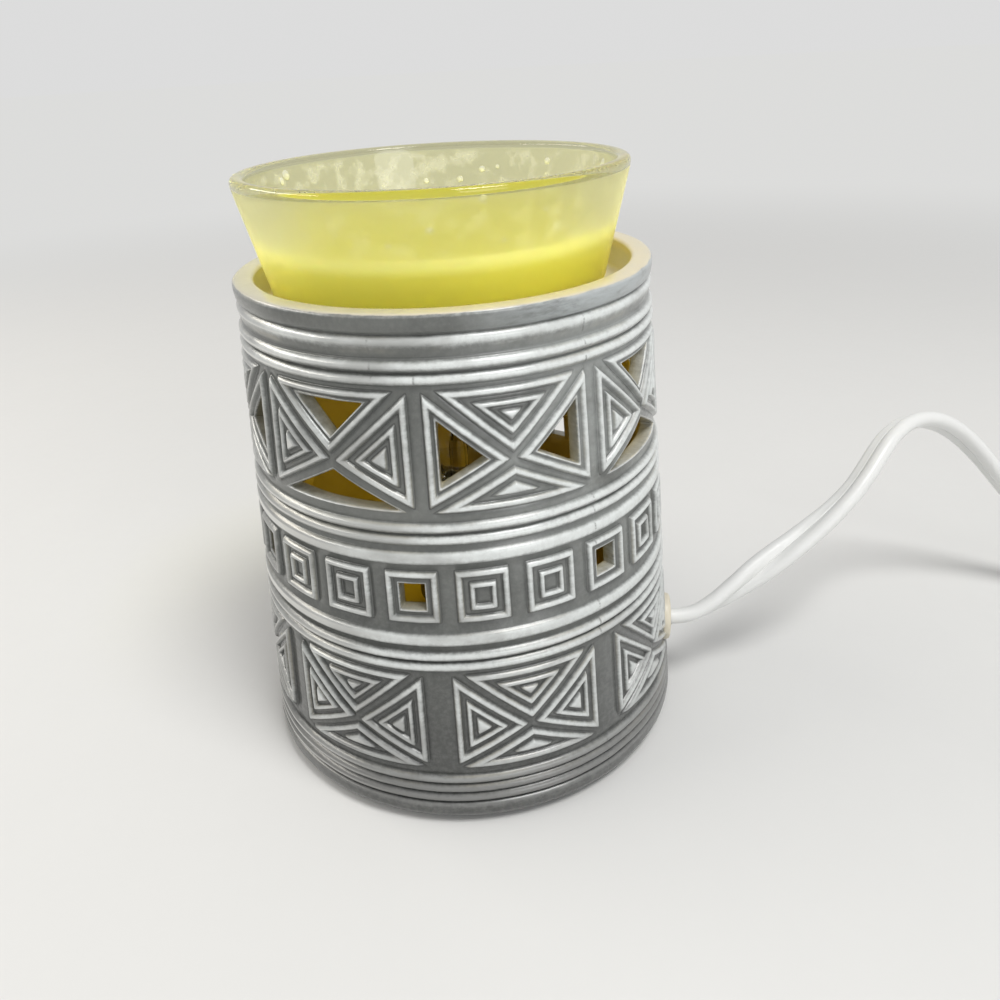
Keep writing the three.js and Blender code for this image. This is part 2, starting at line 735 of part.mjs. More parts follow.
// Glass dish and wax, in the dish's own frame: its foot on the middle of the shelf.
const dishLean = (DISH_RIM_RADIUS - DISH_FOOT_RADIUS) / DISH_HEIGHT;
const dishOutside = (z) => DISH_FOOT_RADIUS + dishLean * z;
const dishInside = (z) => dishOutside(z) - DISH_WALL;
const cornerAt = (radius, middle, size, share) => {
  const turn = (-Math.PI / 2) * (1 - share);
  return [radius - size * (1 - Math.cos(turn)), middle + size * Math.sin(turn)];
};
const dishCorner = [0, 0.33, 0.67, 1].map((share) =>
  cornerAt(dishOutside(DISH_CORNER), DISH_CORNER, DISH_CORNER, share),
);
const hollowCorner = DISH_CORNER - DISH_WALL / 2;
const dishHollow = [1, 0.5, 0].map((share) =>
  cornerAt(dishInside(DISH_CORNER), DISH_WALL + hollowCorner, hollowCorner, share),
);
const dish = lathe(
  [
    [0, 0],
    ...dishCorner,
    [dishOutside(DISH_HEIGHT - 3 * DISH_WALL / 2), DISH_HEIGHT - 3 * DISH_WALL / 2],
    [DISH_RIM_RADIUS + DISH_BEAD, DISH_HEIGHT - 0.7 * DISH_WALL],
    [DISH_RIM_RADIUS + DISH_BEAD, DISH_HEIGHT - 0.35 * DISH_WALL],
    [DISH_RIM_RADIUS - 0.25 * DISH_WALL, DISH_HEIGHT],
    [DISH_RIM_RADIUS - 0.75 * DISH_WALL, DISH_HEIGHT],
    [DISH_RIM_RADIUS - DISH_WALL, DISH_HEIGHT - 0.4 * DISH_WALL],
    ...dishHollow,
    [0, DISH_WALL],
  ],
  DISH_SIDES,
);
const waxFoot = DISH_WALL + CONTACT_GAP;
const waxTop = waxFoot + WAX_DEPTH;
const waxRadius = (z) => dishInside(z) - CONTACT_GAP;
const wax = lathe(
  [
    [0, waxFoot],
    ...[0, 0.5, 1].map((share) =>
      cornerAt(waxRadius(DISH_CORNER), waxFoot + hollowCorner, hollowCorner, share),
    ),
    [waxRadius(waxTop), waxTop],
    [waxRadius(waxTop) - 2 * WAX_EDGE, waxTop - WAX_EDGE],
    [0, waxTop - WAX_EDGE],
  ],
  DISH_SIDES,
);

// Lamp holder on its post.
const postFoot = floorTop + CONTACT_GAP;
const postTop = postFoot + POST_HEIGHT;
const postBore = SCREW_RADIUS + CONTACT_GAP;
const postBoreTop = postFoot + SCREW_GRIP + CONTACT_GAP;
const post = lathe([
  [postBore, postFoot],
  [POST_FLANGE_RADIUS, postFoot],
  [POST_FLANGE_RADIUS, postFoot + POST_FLANGE_THICKNESS],
  [POST_RADIUS + POST_FILLET, postFoot + POST_FLANGE_THICKNESS],
  [POST_RADIUS, postFoot + POST_FLANGE_THICKNESS + POST_FILLET],
  [POST_RADIUS, postTop],
  [0, postTop],
  [0, postBoreTop],
  [postBore, postBoreTop],
]);
const washerTop = undersideTop - CONTACT_GAP;
const washerFoot = washerTop - WASHER_THICKNESS;
const washer = lathe([
  [SCREW_RADIUS + CONTACT_GAP, washerFoot],
  [WASHER_RADIUS, washerFoot],
  [WASHER_RADIUS, washerTop],
  [SCREW_RADIUS + CONTACT_GAP, washerTop],
]);
const screwHeadTop = washerFoot - CONTACT_GAP;
const screw = lathe([
  [0, screwHeadTop - SCREW_HEAD_HEIGHT],
  [0.75 * SCREW_HEAD_RADIUS, screwHeadTop - SCREW_HEAD_HEIGHT],
  [SCREW_HEAD_RADIUS, screwHeadTop - 0.5 * SCREW_HEAD_HEIGHT],
  [SCREW_HEAD_RADIUS, screwHeadTop],
  [SCREW_RADIUS, screwHeadTop],
  [SCREW_RADIUS, postFoot + SCREW_GRIP - SCREW_RADIUS / 2],
  [SCREW_RADIUS / 2, postFoot + SCREW_GRIP],
  [0, postFoot + SCREW_GRIP],
]);
const holderFoot = postTop + CONTACT_GAP;
const holderTop = holderFoot + HOLDER_HEIGHT;
const holderBase = holderFoot + HOLDER_FLOOR;
const linerInside = CAP_RADIUS + RUNNING_GAP;
const linerOutside = linerInside + THREAD_DEPTH + LINER_WALL;
const holderBore = linerOutside + CONTACT_GAP;
const holder = lathe([
  [0, holderFoot],
  [HOLDER_RADIUS - HOLDER_CHAMFER, holderFoot],
  [HOLDER_RADIUS, holderFoot + HOLDER_CHAMFER],
  [HOLDER_RADIUS, holderTop - HOLDER_CHAMFER],
  [HOLDER_RADIUS - HOLDER_CHAMFER, holderTop],
  [holderBore, holderTop],
  [holderBore, holderBase],
  [0, holderBase],
]);

// A thread's rounded crests as rings, from a foot upward.
const thread = (foot, radius, depth) =>
  Array.from({ length: THREAD_TURNS * 2 + 1 }, (_, k) => [
    radius - (k % 2 ? 0 : depth),
    foot + (k * THREAD_PITCH) / 2,
  ]);
const linerTop = holderTop - HOLDER_CHAMFER;
const linerFoot = linerTop - LINER_HEIGHT;
const linerThreadFoot = linerTop - THREAD_TURNS * THREAD_PITCH - THREAD_PITCH / 2;
const liner = lathe([
  [linerOutside, linerFoot],
  [linerOutside, linerTop],
  [linerInside + THREAD_DEPTH, linerTop],
  ...thread(linerThreadFoot, linerInside + THREAD_DEPTH, THREAD_DEPTH).reverse(),
  [linerInside, linerFoot],
]);

// Lamp: cap, insulator, contact button, glass, stem and filament.
const springFoot = holderBase + CONTACT_GAP;
const springContact = lathe([
  [0, springFoot],
  [SPRING_CONTACT_RADIUS, springFoot],
  [SPRING_CONTACT_RADIUS, springFoot + SPRING_CONTACT_HEIGHT / 2],
  [SPRING_CONTACT_RADIUS / 2, springFoot + SPRING_CONTACT_HEIGHT],
  [0, springFoot + SPRING_CONTACT_HEIGHT],
]);
const buttonFoot = springFoot + SPRING_CONTACT_HEIGHT + CONTACT_GAP;
const insulatorFoot = buttonFoot + BUTTON_HEIGHT + CONTACT_GAP;
const capFoot = insulatorFoot + INSULATOR_HEIGHT + CONTACT_GAP;
const capThreadFoot = capFoot + THREAD_PITCH / 2;
const capThreadTop = capThreadFoot + THREAD_TURNS * THREAD_PITCH;
const capTop = capThreadTop + CAP_SKIRT;
const capInside = CAP_RADIUS - THREAD_DEPTH - CAP_WALL;
const button = lathe([
  [0, buttonFoot],
  [0.6 * BUTTON_RADIUS, buttonFoot],
  [BUTTON_RADIUS, buttonFoot + BUTTON_HEIGHT / 2],
  [BUTTON_RADIUS, buttonFoot + BUTTON_HEIGHT],
  [0, buttonFoot + BUTTON_HEIGHT],
]);
const insulator = lathe([
  [0, insulatorFoot],
  [BUTTON_RADIUS + EDGE_BREAK, insulatorFoot],
  [capInside - CAP_WALL, insulatorFoot + INSULATOR_HEIGHT],
  [0, insulatorFoot + INSULATOR_HEIGHT],
]);
const cap = lathe([
  [capInside - CAP_WALL, capFoot],
  [CAP_RADIUS - THREAD_DEPTH, capFoot],
  ...thread(capThreadFoot, CAP_RADIUS, THREAD_DEPTH),
  [CAP_RADIUS - THREAD_DEPTH, capTop],
  [capInside, capTop],
  [capInside, capFoot + CAP_WALL],
  [capInside - CAP_WALL, capFoot + CAP_WALL],
]);
const glassNeck = capInside - CONTACT_GAP;
const glassFoot = capTop - GLASS_NECK_DEPTH;
const glassMiddle = glassFoot + GLASS_LENGTH - GLASS_RADIUS;
const crownArc = (radius, from) =>
  [0, 0.2, 0.4, 0.6, 0.8, 1].map((share) => {
    const turn = from + (Math.PI / 2 - from) * share;
    return [radius * Math.cos(turn), glassMiddle + radius * Math.sin(turn)];
  });
const glassWaist = capTop + GLASS_NECK_RISE;
const glassHip = 0.5 * (glassWaist + glassMiddle) - GLASS_HIP;
const glass = lathe([
  [glassNeck - GLASS_WALL, glassFoot],
  [glassNeck, glassFoot],
  [glassNeck, glassWaist],
  [0.5 * (glassNeck + GLASS_RADIUS), glassHip],
  ...crownArc(GLASS_RADIUS, -0.5),
  ...crownArc(GLASS_RADIUS - GLASS_WALL, -0.5).reverse(),
  [0.5 * (glassNeck + GLASS_RADIUS) - GLASS_WALL, glassHip],
  [glassNeck - GLASS_WALL, glassWaist],
]);
const stemFoot = glassFoot;
const stemTop = stemFoot + STEM_HEIGHT;
const stem = lathe(
  [
    [0, stemFoot],
    [glassNeck - GLASS_WALL - CONTACT_GAP, stemFoot],
    [STEM_RADIUS, stemFoot + STEM_FLARE],
    [STEM_RADIUS, stemTop - STEM_TIP],
    [STEM_RADIUS / 2, stemTop],
    [0, stemTop],
  ],
  12,
);

// A section carried along points: side and up give the section's two directions.
function sweep(section, points, sides) {
  const rows = points.map((p, i) => {
    const along = points[Math.min(i + 1, points.length - 1)].clone();
    along.sub(points[Math.max(i - 1, 0)]).normalize();
    const side = sides[i].clone().addScaledVector(along, -sides[i].dot(along)).normalize();
    const up = new THREE.Vector3().crossVectors(along, side);
    return section.map(([w, t]) => p.clone().addScaledVector(side, w).addScaledVector(up, t));
  });
  return skin(rows, false);
}

const polygon = (radius, count) =>
  Array.from({ length: count }, (_, k) => {
    const turn = (2 * Math.PI * k) / count;
    return [radius * Math.cos(turn), radius * Math.sin(turn)];
  });
const vectors = (list) => list.map(([x, y, z]) => new THREE.Vector3(x, y, z));
function wire(list, radius, count, steps) {
  const points = new THREE.CatmullRomCurve3(vectors(list)).getPoints(steps);
  const sides = points.map(() => new THREE.Vector3(0, 1, 0));
  return sweep(polygon(radius, count), points, sides);
}
const filamentFoot = stemTop + CONTACT_GAP;
const filament = wire(
  [
    [-FILAMENT_FEET, 0, filamentFoot],
    [-FILAMENT_SPAN / 4, 0, filamentFoot + FILAMENT_RISE / 3],
    [-FILAMENT_SPAN / 2, 0, filamentFoot + 0.85 * FILAMENT_RISE],
    [-FILAMENT_SPAN / 4, 0, filamentFoot + FILAMENT_RISE],
    [FILAMENT_SPAN / 4, 0, filamentFoot + FILAMENT_RISE],
    [FILAMENT_SPAN / 2, 0, filamentFoot + 0.85 * FILAMENT_RISE],
    [FILAMENT_SPAN / 4, 0, filamentFoot + FILAMENT_RISE / 3],
    [FILAMENT_FEET, 0, filamentFoot],
  ],
  FILAMENT_WIRE,
  5,
  18,
);

// Terminals on the holder, and the two cores of the lead inside the body.
const terminalHeight = holderTop - TERMINAL_DROP;
const terminalReach = HOLDER_RADIUS + CONTACT_GAP;
const terminal = lathe(
  [
    [0, terminalReach],
    [0.8 * TERMINAL_RADIUS, terminalReach],
    [TERMINAL_RADIUS, terminalReach + EDGE_BREAK],
    [TERMINAL_RADIUS, terminalReach + TERMINAL_LENGTH],
    [0, terminalReach + TERMINAL_LENGTH],
  ],
  12,
).rotateY(Math.PI / 2);
const bushingEnd = bossFace + CONTACT_GAP + BUSHING_FLANGE;
function leadCore(sign) {
  const turn = THREE.MathUtils.degToRad(TERMINAL_SPREAD) * sign;
  const reach = terminalReach + TERMINAL_LENGTH + CONTACT_GAP;
  const [x, y] = [reach * Math.cos(turn), reach * Math.sin(turn)];
  const offset = CORD_WIDTH / 4;
  return wire(
    [
      [bushingEnd - CONTACT_GAP, sign * offset, BUSHING_HEIGHT],
      [inside(BUSHING_HEIGHT) - CORE_SLACK, sign * offset, BUSHING_HEIGHT],
      [0.75 * inside(BUSHING_HEIGHT), sign * 2 * offset, BUSHING_HEIGHT - CORE_SLACK],
      [1.6 * x, 1.3 * y, BUSHING_HEIGHT],
      [1.5 * x, 1.5 * y, 0.5 * (BUSHING_HEIGHT + terminalHeight)],
      [1.25 * x, 1.25 * y, terminalHeight],
      [x, y, terminalHeight],
    ],
    CORE_RADIUS,
    6,
    15,
  );
}

// Bushing where the lead goes through the wall.
const collarOuter =
  Math.sqrt(inside(BUSHING_HEIGHT) ** 2 - BUSHING_COLLAR_RADIUS ** 2) - BUSHING_COLLAR_PLAY;
const bushingBore = CORD_WIDTH / 2 + CONTACT_GAP;
const bushing = alongX(
  lathe([
    [bushingBore, collarOuter - BUSHING_COLLAR],
    [BUSHING_COLLAR_RADIUS - EDGE_BREAK, collarOuter - BUSHING_COLLAR],
    [BUSHING_COLLAR_RADIUS, collarOuter],
    [BUSHING_RADIUS, collarOuter],
    [BUSHING_RADIUS, bossFace + CONTACT_GAP],
    [BUSHING_FLANGE_RADIUS, bossFace + CONTACT_GAP],
    [BUSHING_FLANGE_RADIUS, bushingEnd - EDGE_BREAK],
    [BUSHING_FLANGE_RADIUS - EDGE_BREAK, bushingEnd],
    [bushingBore, bushingEnd],
  ]),
);

// Flat two-core lead: two round cores side by side with a groove between them.
const cordHalf = CORD_THICKNESS / 2;
const coreOffset = CORD_WIDTH / 2 - cordHalf;
const cordSection = [
  [CORD_WIDTH / 2, 0],
  [coreOffset + 0.3 * cordHalf, cordHalf],
  [0, 0.6 * cordHalf],
  [-coreOffset - 0.3 * cordHalf, cordHalf],
  [-CORD_WIDTH / 2, 0],
  [-coreOffset - 0.3 * cordHalf, -cordHalf],
  [0, -0.6 * cordHalf],
  [coreOffset + 0.3 * cordHalf, -cordHalf],
];
const coilSection = [
  [CORD_WIDTH / 2, 0],
  [coreOffset, cordHalf],
  [-coreOffset, cordHalf],
  [-CORD_WIDTH / 2, 0],
  [-coreOffset, -cordHalf],
  [coreOffset, -cordHalf],
];

// A stretch of the lead. A twist of 0 lays it flat and 90 stands it on edge.
function stretch(list, twists, steps) {
  const curve = new THREE.CatmullRomCurve3(vectors(list));
  const points = curve.getPoints(steps);
  const sides = points.map((p, i) => {
    const at = (i / steps) * (twists.length - 1);
    const low = Math.min(Math.floor(at), twists.length - 2);
    const twist = twists[low] + (twists[low + 1] - twists[low]) * (at - low);
    const along = curve.getTangent(i / steps);
    const side = new THREE.Vector3(-along.y, along.x, 0).normalize();
    return side.applyAxisAngle(along, THREE.MathUtils.degToRad(twist));
  });
  return { geometry: sweep(cordSection, points, sides), length: curve.getLength() };
}

const lead = stretch(LEAD_ROUTE, LEAD_TWIST, LEAD_STEPS);
const leadEnd = LEAD_ROUTE[LEAD_ROUTE.length - 1];
const switchStart = leadEnd[0] + CONTACT_GAP;
const switchEnd = switchStart + SWITCH_LENGTH;
const switchMiddle = (switchStart + switchEnd) / 2;

// Coil: two layers of turns on edge, winding in, climbing and winding out again.
const coilFoot = TIE_THICKNESS + CONTACT_GAP;
const coilLow = coilFoot + CORD_WIDTH / 2;
const coilHigh = coilLow + CORD_WIDTH + COIL_LAYER_GAP;
const coilInner = COIL_RADIUS - COIL_INNER_STEP - COIL_PITCH * (COIL_TURNS / 2 - 0.75);
const coilX = switchEnd + COIL_RADIUS - CORD_WIDTH;
const coilY = leadEnd[1] - COIL_RADIUS;
function coilPoint(turns) {
  const fromMiddle = turns - COIL_TURNS / 2;
  const reach = Math.abs(fromMiddle);
  const inward = THREE.MathUtils.clamp((reach - 0.25) / 0.5, 0, 1);
  const radius = coilInner + COIL_INNER_STEP * inward + COIL_PITCH * Math.max(0, reach - 0.75);
  const climb = THREE.MathUtils.smoothstep(fromMiddle, -0.25, 0.25);
  const turn = Math.PI / 2 - 2 * Math.PI * turns;
  return new THREE.Vector3(
    coilX + radius * Math.cos(turn),
    coilY + radius * Math.sin(turn),
    coilLow + (coilHigh - coilLow) * climb,
  );
}
const coilCount = Math.round(COIL_TURNS * COIL_STEPS);
const coilPoints = Array.from({ length: coilCount + 1 }, (_, i) => coilPoint(i / COIL_STEPS));
coilPoints.unshift(coilPoints[0].clone().add(new THREE.Vector3(-CORD_WIDTH, 0, 0)));
coilPoints.push(coilPoints[coilPoints.length - 1].clone().add(new THREE.Vector3(-CORD_WIDTH, 0, 0)));
const coil = sweep(coilSection, coilPoints, coilPoints.map(() => new THREE.Vector3(0, 0, 1)));

// The least gap between one turn and another, measured between their middle lines.
function coilGap() {
  const dense = Array.from({ length: coilCount * 4 + 1 }, (_, i) => coilPoint(i / COIL_STEPS / 4));
  const apart = COIL_STEPS * 2;
  let least = Infinity;
  for (let i = 0; i < dense.length; i += 1) {
    for (let k = i + apart; k < dense.length; k += 1) {
      const level = Math.abs(dense[i].z - dense[k].z) - CORD_WIDTH;
      const flat = Math.hypot(dense[i].x - dense[k].x, dense[i].y - dense[k].y) - CORD_THICKNESS;
      least = Math.min(least, Math.max(level, flat));
    }
  }
  return least;
}
console.log(`least gap between turns of the coil: ${coilGap().toFixed(2)} mm`);

const coilStart = coilPoints[0];
const coilEnd = coilPoints[coilPoints.length - 1];
const feedFrom = switchEnd + CONTACT_GAP;
const feedTo = coilStart.x - CONTACT_GAP;
const between = (from, to, share) => from + (to - from) * share;
const feed = stretch(
  [
    [feedFrom, leadEnd[1], leadEnd[2]],
    [between(feedFrom, feedTo, 0.25), leadEnd[1], between(leadEnd[2], coilStart.z, 0.05)],
    [between(feedFrom, feedTo, 0.5), leadEnd[1], between(leadEnd[2], coilStart.z, 0.5)],
    [between(feedFrom, feedTo, 0.75), leadEnd[1], between(leadEnd[2], coilStart.z, 0.95)],
    [feedTo, leadEnd[1], coilStart.z],
  ],
  [0, 10, 45, 80, 90],
  FEED_STEPS,
);

// Plug, lying beside the coil with its blades pointing back towards the body.
const plugTail = coilX - PLUG_GAP;
const plugFace = plugTail - PLUG_LENGTH;
const plugY = coilEnd.y;
const plugZ = PLUG_HEIGHT / 2;
const tailFrom = coilEnd.x - CONTACT_GAP;
const tailTo = plugTail + CONTACT_GAP;
const tail = stretch(
  [
    [tailFrom, coilEnd.y, coilEnd.z],
    [between(tailFrom, tailTo, 0.25), plugY, between(coilEnd.z, plugZ, 0.05)],
    [between(tailFrom, tailTo, 0.5), plugY, between(coilEnd.z, plugZ, 0.5)],
    [between(tailFrom, tailTo, 0.75), plugY, between(coilEnd.z, plugZ, 0.95)],
    [tailTo, plugY, plugZ],
  ],
  [90, 80, 45, 10, 0],
  TAIL_STEPS,
);
const plugShape = new THREE.Shape();
plugShape.moveTo(plugFace, -PLUG_WIDTH / 2 + PLUG_ROUND);
plugShape.lineTo(plugFace + PLUG_ROUND, -PLUG_WIDTH / 2);
plugShape.lineTo(plugFace + PLUG_LENGTH * 0.45, -PLUG_WIDTH / 2);
plugShape.lineTo(plugTail, -PLUG_TAIL_WIDTH / 2);
plugShape.lineTo(plugTail, PLUG_TAIL_WIDTH / 2);
plugShape.lineTo(plugFace + PLUG_LENGTH * 0.45, PLUG_WIDTH / 2);
plugShape.lineTo(plugFace + PLUG_ROUND, PLUG_WIDTH / 2);
plugShape.lineTo(plugFace, PLUG_WIDTH / 2 - PLUG_ROUND);
const bladeHole = (y, height) =>
  new THREE.BoxGeometry(
    2 * BLADE_ROOT,
    BLADE_THICKNESS + 2 * CONTACT_GAP,
    height + 2 * CONTACT_GAP,
  ).translate(plugFace, y, plugZ);
const plugBody = cut(
  extrude(plugShape, PLUG_HEIGHT, PLUG_ROUND / 2),
  bladeHole(-BLADE_SPACING / 2, NARROW_BLADE),
  bladeHole(BLADE_SPACING / 2, WIDE_BLADE),
);
const blade = (y, height) =>
  new THREE.BoxGeometry(BLADE_LENGTH + BLADE_ROOT - CONTACT_GAP, BLADE_THICKNESS, height).translate(
    plugFace + (BLADE_ROOT - CONTACT_GAP - BLADE_LENGTH) / 2,
    y,
    plugZ,
  );

// Tie round the coil: a flat strap bent into a frame about all the turns.
const tieInner = coilInner - cordHalf - CONTACT_GAP - COIL_PITCH / 2;
const tieOuter = COIL_RADIUS + cordHalf + CONTACT_GAP + COIL_PITCH / 2;
const tieTop = coilHigh + CORD_WIDTH / 2 + CONTACT_GAP;
const tieShape = new THREE.Shape();
tieShape.moveTo(tieInner - TIE_THICKNESS, 0);
tieShape.lineTo(tieOuter + TIE_THICKNESS, 0);
tieShape.lineTo(tieOuter + TIE_THICKNESS, tieTop + TIE_THICKNESS);
tieShape.lineTo(tieInner - TIE_THICKNESS, tieTop + TIE_THICKNESS);
const tieHole = new THREE.Path();
tieHole.moveTo(tieInner, TIE_THICKNESS);
tieHole.lineTo(tieInner, tieTop);
tieHole.lineTo(tieOuter, tieTop);
tieHole.lineTo(tieOuter, TIE_THICKNESS);
tieShape.holes.push(tieHole);
const tie = extrude(tieShape, TIE_WIDTH)
  .translate(0, 0, -TIE_WIDTH / 2)
  .rotateX(Math.PI / 2);

// In-line switch: two half shells, a thumb wheel in a slot and the wheel's axle.
const wheelHeight = SWITCH_FLOOR + RUNNING_GAP + WHEEL_RADIUS;
const lowerTop = wheelHeight - CONTACT_GAP / 2;
const upperFoot = wheelHeight + CONTACT_GAP / 2;
const upperTop = wheelHeight + WHEEL_RADIUS - WHEEL_PROUD;
const wheelPocket = () =>
  new THREE.BoxGeometry(
    2 * (WHEEL_RADIUS + RUNNING_GAP),
    WHEEL_WIDTH + 2 * RUNNING_GAP,
    2 * (WHEEL_RADIUS + RUNNING_GAP),
  ).translate(0, 0, wheelHeight);
const axleSlot = () =>
  new THREE.BoxGeometry(
    2 * (AXLE_RADIUS + CONTACT_GAP),
    AXLE_LENGTH + 2 * CONTACT_GAP,
    2 * (AXLE_RADIUS + CONTACT_GAP),
  ).translate(0, 0, wheelHeight);
const switchShape = roundedBox(SWITCH_LENGTH, SWITCH_WIDTH, SWITCH_ROUND);
const switchLower = cut(extrude(switchShape, lowerTop, SWITCH_BEVEL), wheelPocket(), axleSlot());
const switchUpper = cut(
  extrude(switchShape, upperTop - upperFoot, SWITCH_BEVEL).translate(0, 0, upperFoot),
  wheelPocket(),
  axleSlot(),
);
const wheelShape = new THREE.Shape();
for (let k = 0; k < 2 * WHEEL_TEETH; k += 1) {
  const turn = (Math.PI * k) / WHEEL_TEETH;
  const radius = k % 2 ? WHEEL_RADIUS - WHEEL_TOOTH : WHEEL_RADIUS;
  const [x, y] = [radius * Math.cos(turn), radius * Math.sin(turn)];
  if (k === 0) {
    wheelShape.moveTo(x, y);
  } else {
    wheelShape.lineTo(x, y);
  }
}
const wheelBore = new THREE.Path();
wheelBore.absarc(0, 0, AXLE_RADIUS + CONTACT_GAP, 0, 2 * Math.PI, true);
wheelShape.holes.push(wheelBore);
const wheel = extrude(wheelShape, WHEEL_WIDTH)
  .translate(0, 0, -WHEEL_WIDTH / 2)
  .rotateX(Math.PI / 2);
const axle = new THREE.CylinderGeometry(AXLE_RADIUS, AXLE_RADIUS, AXLE_LENGTH, 12);

const foot = lathe(
  [
    [0, 0],
    [FOOT_RADIUS - EDGE_BREAK, 0],
    [FOOT_RADIUS, EDGE_BREAK],
    [FOOT_RADIUS, FOOT_HEIGHT],
    [0, FOOT_HEIGHT],
  ],
  12,
);

// Scene: the body's own pieces, the lamp, the dish, and the lead with what is on it.
const paint = (color, roughness, metalness = 0, opacity = 1) =>
  new THREE.MeshStandardMaterial({
    color,
    roughness,
    metalness,
    opacity,
    transparent: opacity < 1,
  });
const warmer = new THREE.Group();
warmer.name = "wax_warmer";

function place(parent, name, geometry, material, position = [0, 0, 0], turn = 0) {
  const mesh = new THREE.Mesh(closed(geometry), material);
  mesh.name = name;
  mesh.position.set(...position);
  mesh.rotation.z = turn;
  parent.add(mesh);
  return mesh;
}

place(warmer, "body_shell", bodyShell, paint(0x8f9396, 0.75));
const footCircle = BODY_BASE_RADIUS - FOOT_INSET;
for (let i = 0; i < FOOT_COUNT; i += 1) {
  const turn = ((i + 0.5) * 2 * Math.PI) / FOOT_COUNT;
  const at = [footCircle * Math.cos(turn), footCircle * Math.sin(turn), 0];
  place(warmer, `foot_${i + 1}`, foot, paint(0x4a4642, 0.9), at);
}
place(warmer, "cord_bushing", bushing, paint(0xe4dcc4, 0.55));
place(warmer, "mount_screw", screw, paint(0xb9bbbd, 0.35, 1));
place(warmer, "mount_washer", washer, paint(0xb9bbbd, 0.4, 1));
place(warmer, "lamp_post", post, paint(0xb4b6b8, 0.4, 1));

const lampHolder = new THREE.Group();
warmer.add(lampHolder);
place(lampHolder, "lamp_holder", holder, paint(0x2a2623, 0.45));
place(lampHolder, "holder_thread", liner, paint(0xc79a4b, 0.35, 1));
place(lampHolder, "holder_contact", springContact, paint(0xc79a4b, 0.35, 1));
for (const [i, sign] of [-1, 1].entries()) {
  const turn = THREE.MathUtils.degToRad(TERMINAL_SPREAD) * sign;
  const at = [0, 0, terminalHeight];
  place(lampHolder, `terminal_screw_${i + 1}`, terminal, paint(0xc79a4b, 0.4, 1), at, turn);
  place(lampHolder, `lead_core_${i + 1}`, leadCore(sign), paint(0xe9e6dd, 0.5));
}

const lamp = new THREE.Group();
warmer.add(lamp);
place(lamp, "bulb_contact", button, paint(0xb9b4a8, 0.4, 1));
place(lamp, "bulb_insulator", insulator, paint(0x1c1a1f, 0.25));
place(lamp, "bulb_cap", cap, paint(0xc9cbcc, 0.35, 1));
place(lamp, "bulb_glass", glass, paint(0xf4f1e6, 0.08, 0, 0.35));
place(lamp, "bulb_stem", stem, paint(0xe6ecea, 0.1, 0, 0.5));
place(lamp, "bulb_filament", filament, paint(0x6d6a66, 0.4, 1));

const dishGroup = new THREE.Group();
dishGroup.position.set(DISH_SET_OVER, 0, shelfTop + CONTACT_GAP);
warmer.add(dishGroup);
place(dishGroup, "dish", dish, paint(0xd9d27a, 0.35, 0, 0.6));
place(dishGroup, "wax", wax, paint(0xd8cf36, 0.4));

const leadGroup = new THREE.Group();
warmer.add(leadGroup);
const white = paint(0xe8e6df, 0.4);
place(leadGroup, "cord_lead", lead.geometry, white);
place(leadGroup, "cord_feed", feed.geometry, white);
place(leadGroup, "cord_coil", coil, white);
place(leadGroup, "cord_tail", tail.geometry, white);
const tieAngle = THREE.MathUtils.degToRad(TIE_TURN);
place(leadGroup, "coil_tie", tie, paint(0x2b2b2b, 0.6), [coilX, coilY, 0], tieAngle);

const switchGroup = new THREE.Group();
switchGroup.position.set(switchMiddle, leadEnd[1], 0);
leadGroup.add(switchGroup);
place(switchGroup, "switch_lower", switchLower, paint(0xe8e6df, 0.4));
place(switchGroup, "switch_upper", switchUpper, paint(0xe8e6df, 0.4));
place(switchGroup, "switch_wheel", wheel, paint(0xd6d3ca, 0.45), [0, 0, wheelHeight]);
place(switchGroup, "switch_axle", axle, paint(0xb9bbbd, 0.35, 1), [0, 0, wheelHeight]);

const plugGroup = new THREE.Group();
plugGroup.position.y = plugY;
leadGroup.add(plugGroup);
place(plugGroup, "plug_body", plugBody, paint(0xe8e6df, 0.4));
place(plugGroup, "plug_blade_narrow", blade(-BLADE_SPACING / 2, NARROW_BLADE), paint(0xcaa45a, 0.3, 1));
place(plugGroup, "plug_blade_wide", blade(BLADE_SPACING / 2, WIDE_BLADE), paint(0xcaa45a, 0.3, 1));

const coilLength = coilPoints.reduce(
  (sum, p, i) => (i ? sum + p.distanceTo(coilPoints[i - 1]) : 0),
  0,
);
const runLength = feed.length + coilLength + tail.length;
console.log(`lead to the switch ${lead.length.toFixed(0)} mm, on to the plug ${runLength.toFixed(0)} mm`);

export default warmer;
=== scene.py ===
"""Electric wax warmer: finish, lead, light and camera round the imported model.

The shapes are drawn in millimetres, as the solids are, and mesh_object() turns them into metres.
Materials, lamps and the floor are in metres. Angles round the body start at -Y and turn towards +X.
"""
import random
from math import acos, copysign, cos, exp, hypot, pi, radians, sin, tan

import bmesh
import bpy
import numpy as np
from mathutils import Matrix, Vector, noise
from mathutils.geometry import delaunay_2d_cdt
from numpy.linalg import norm


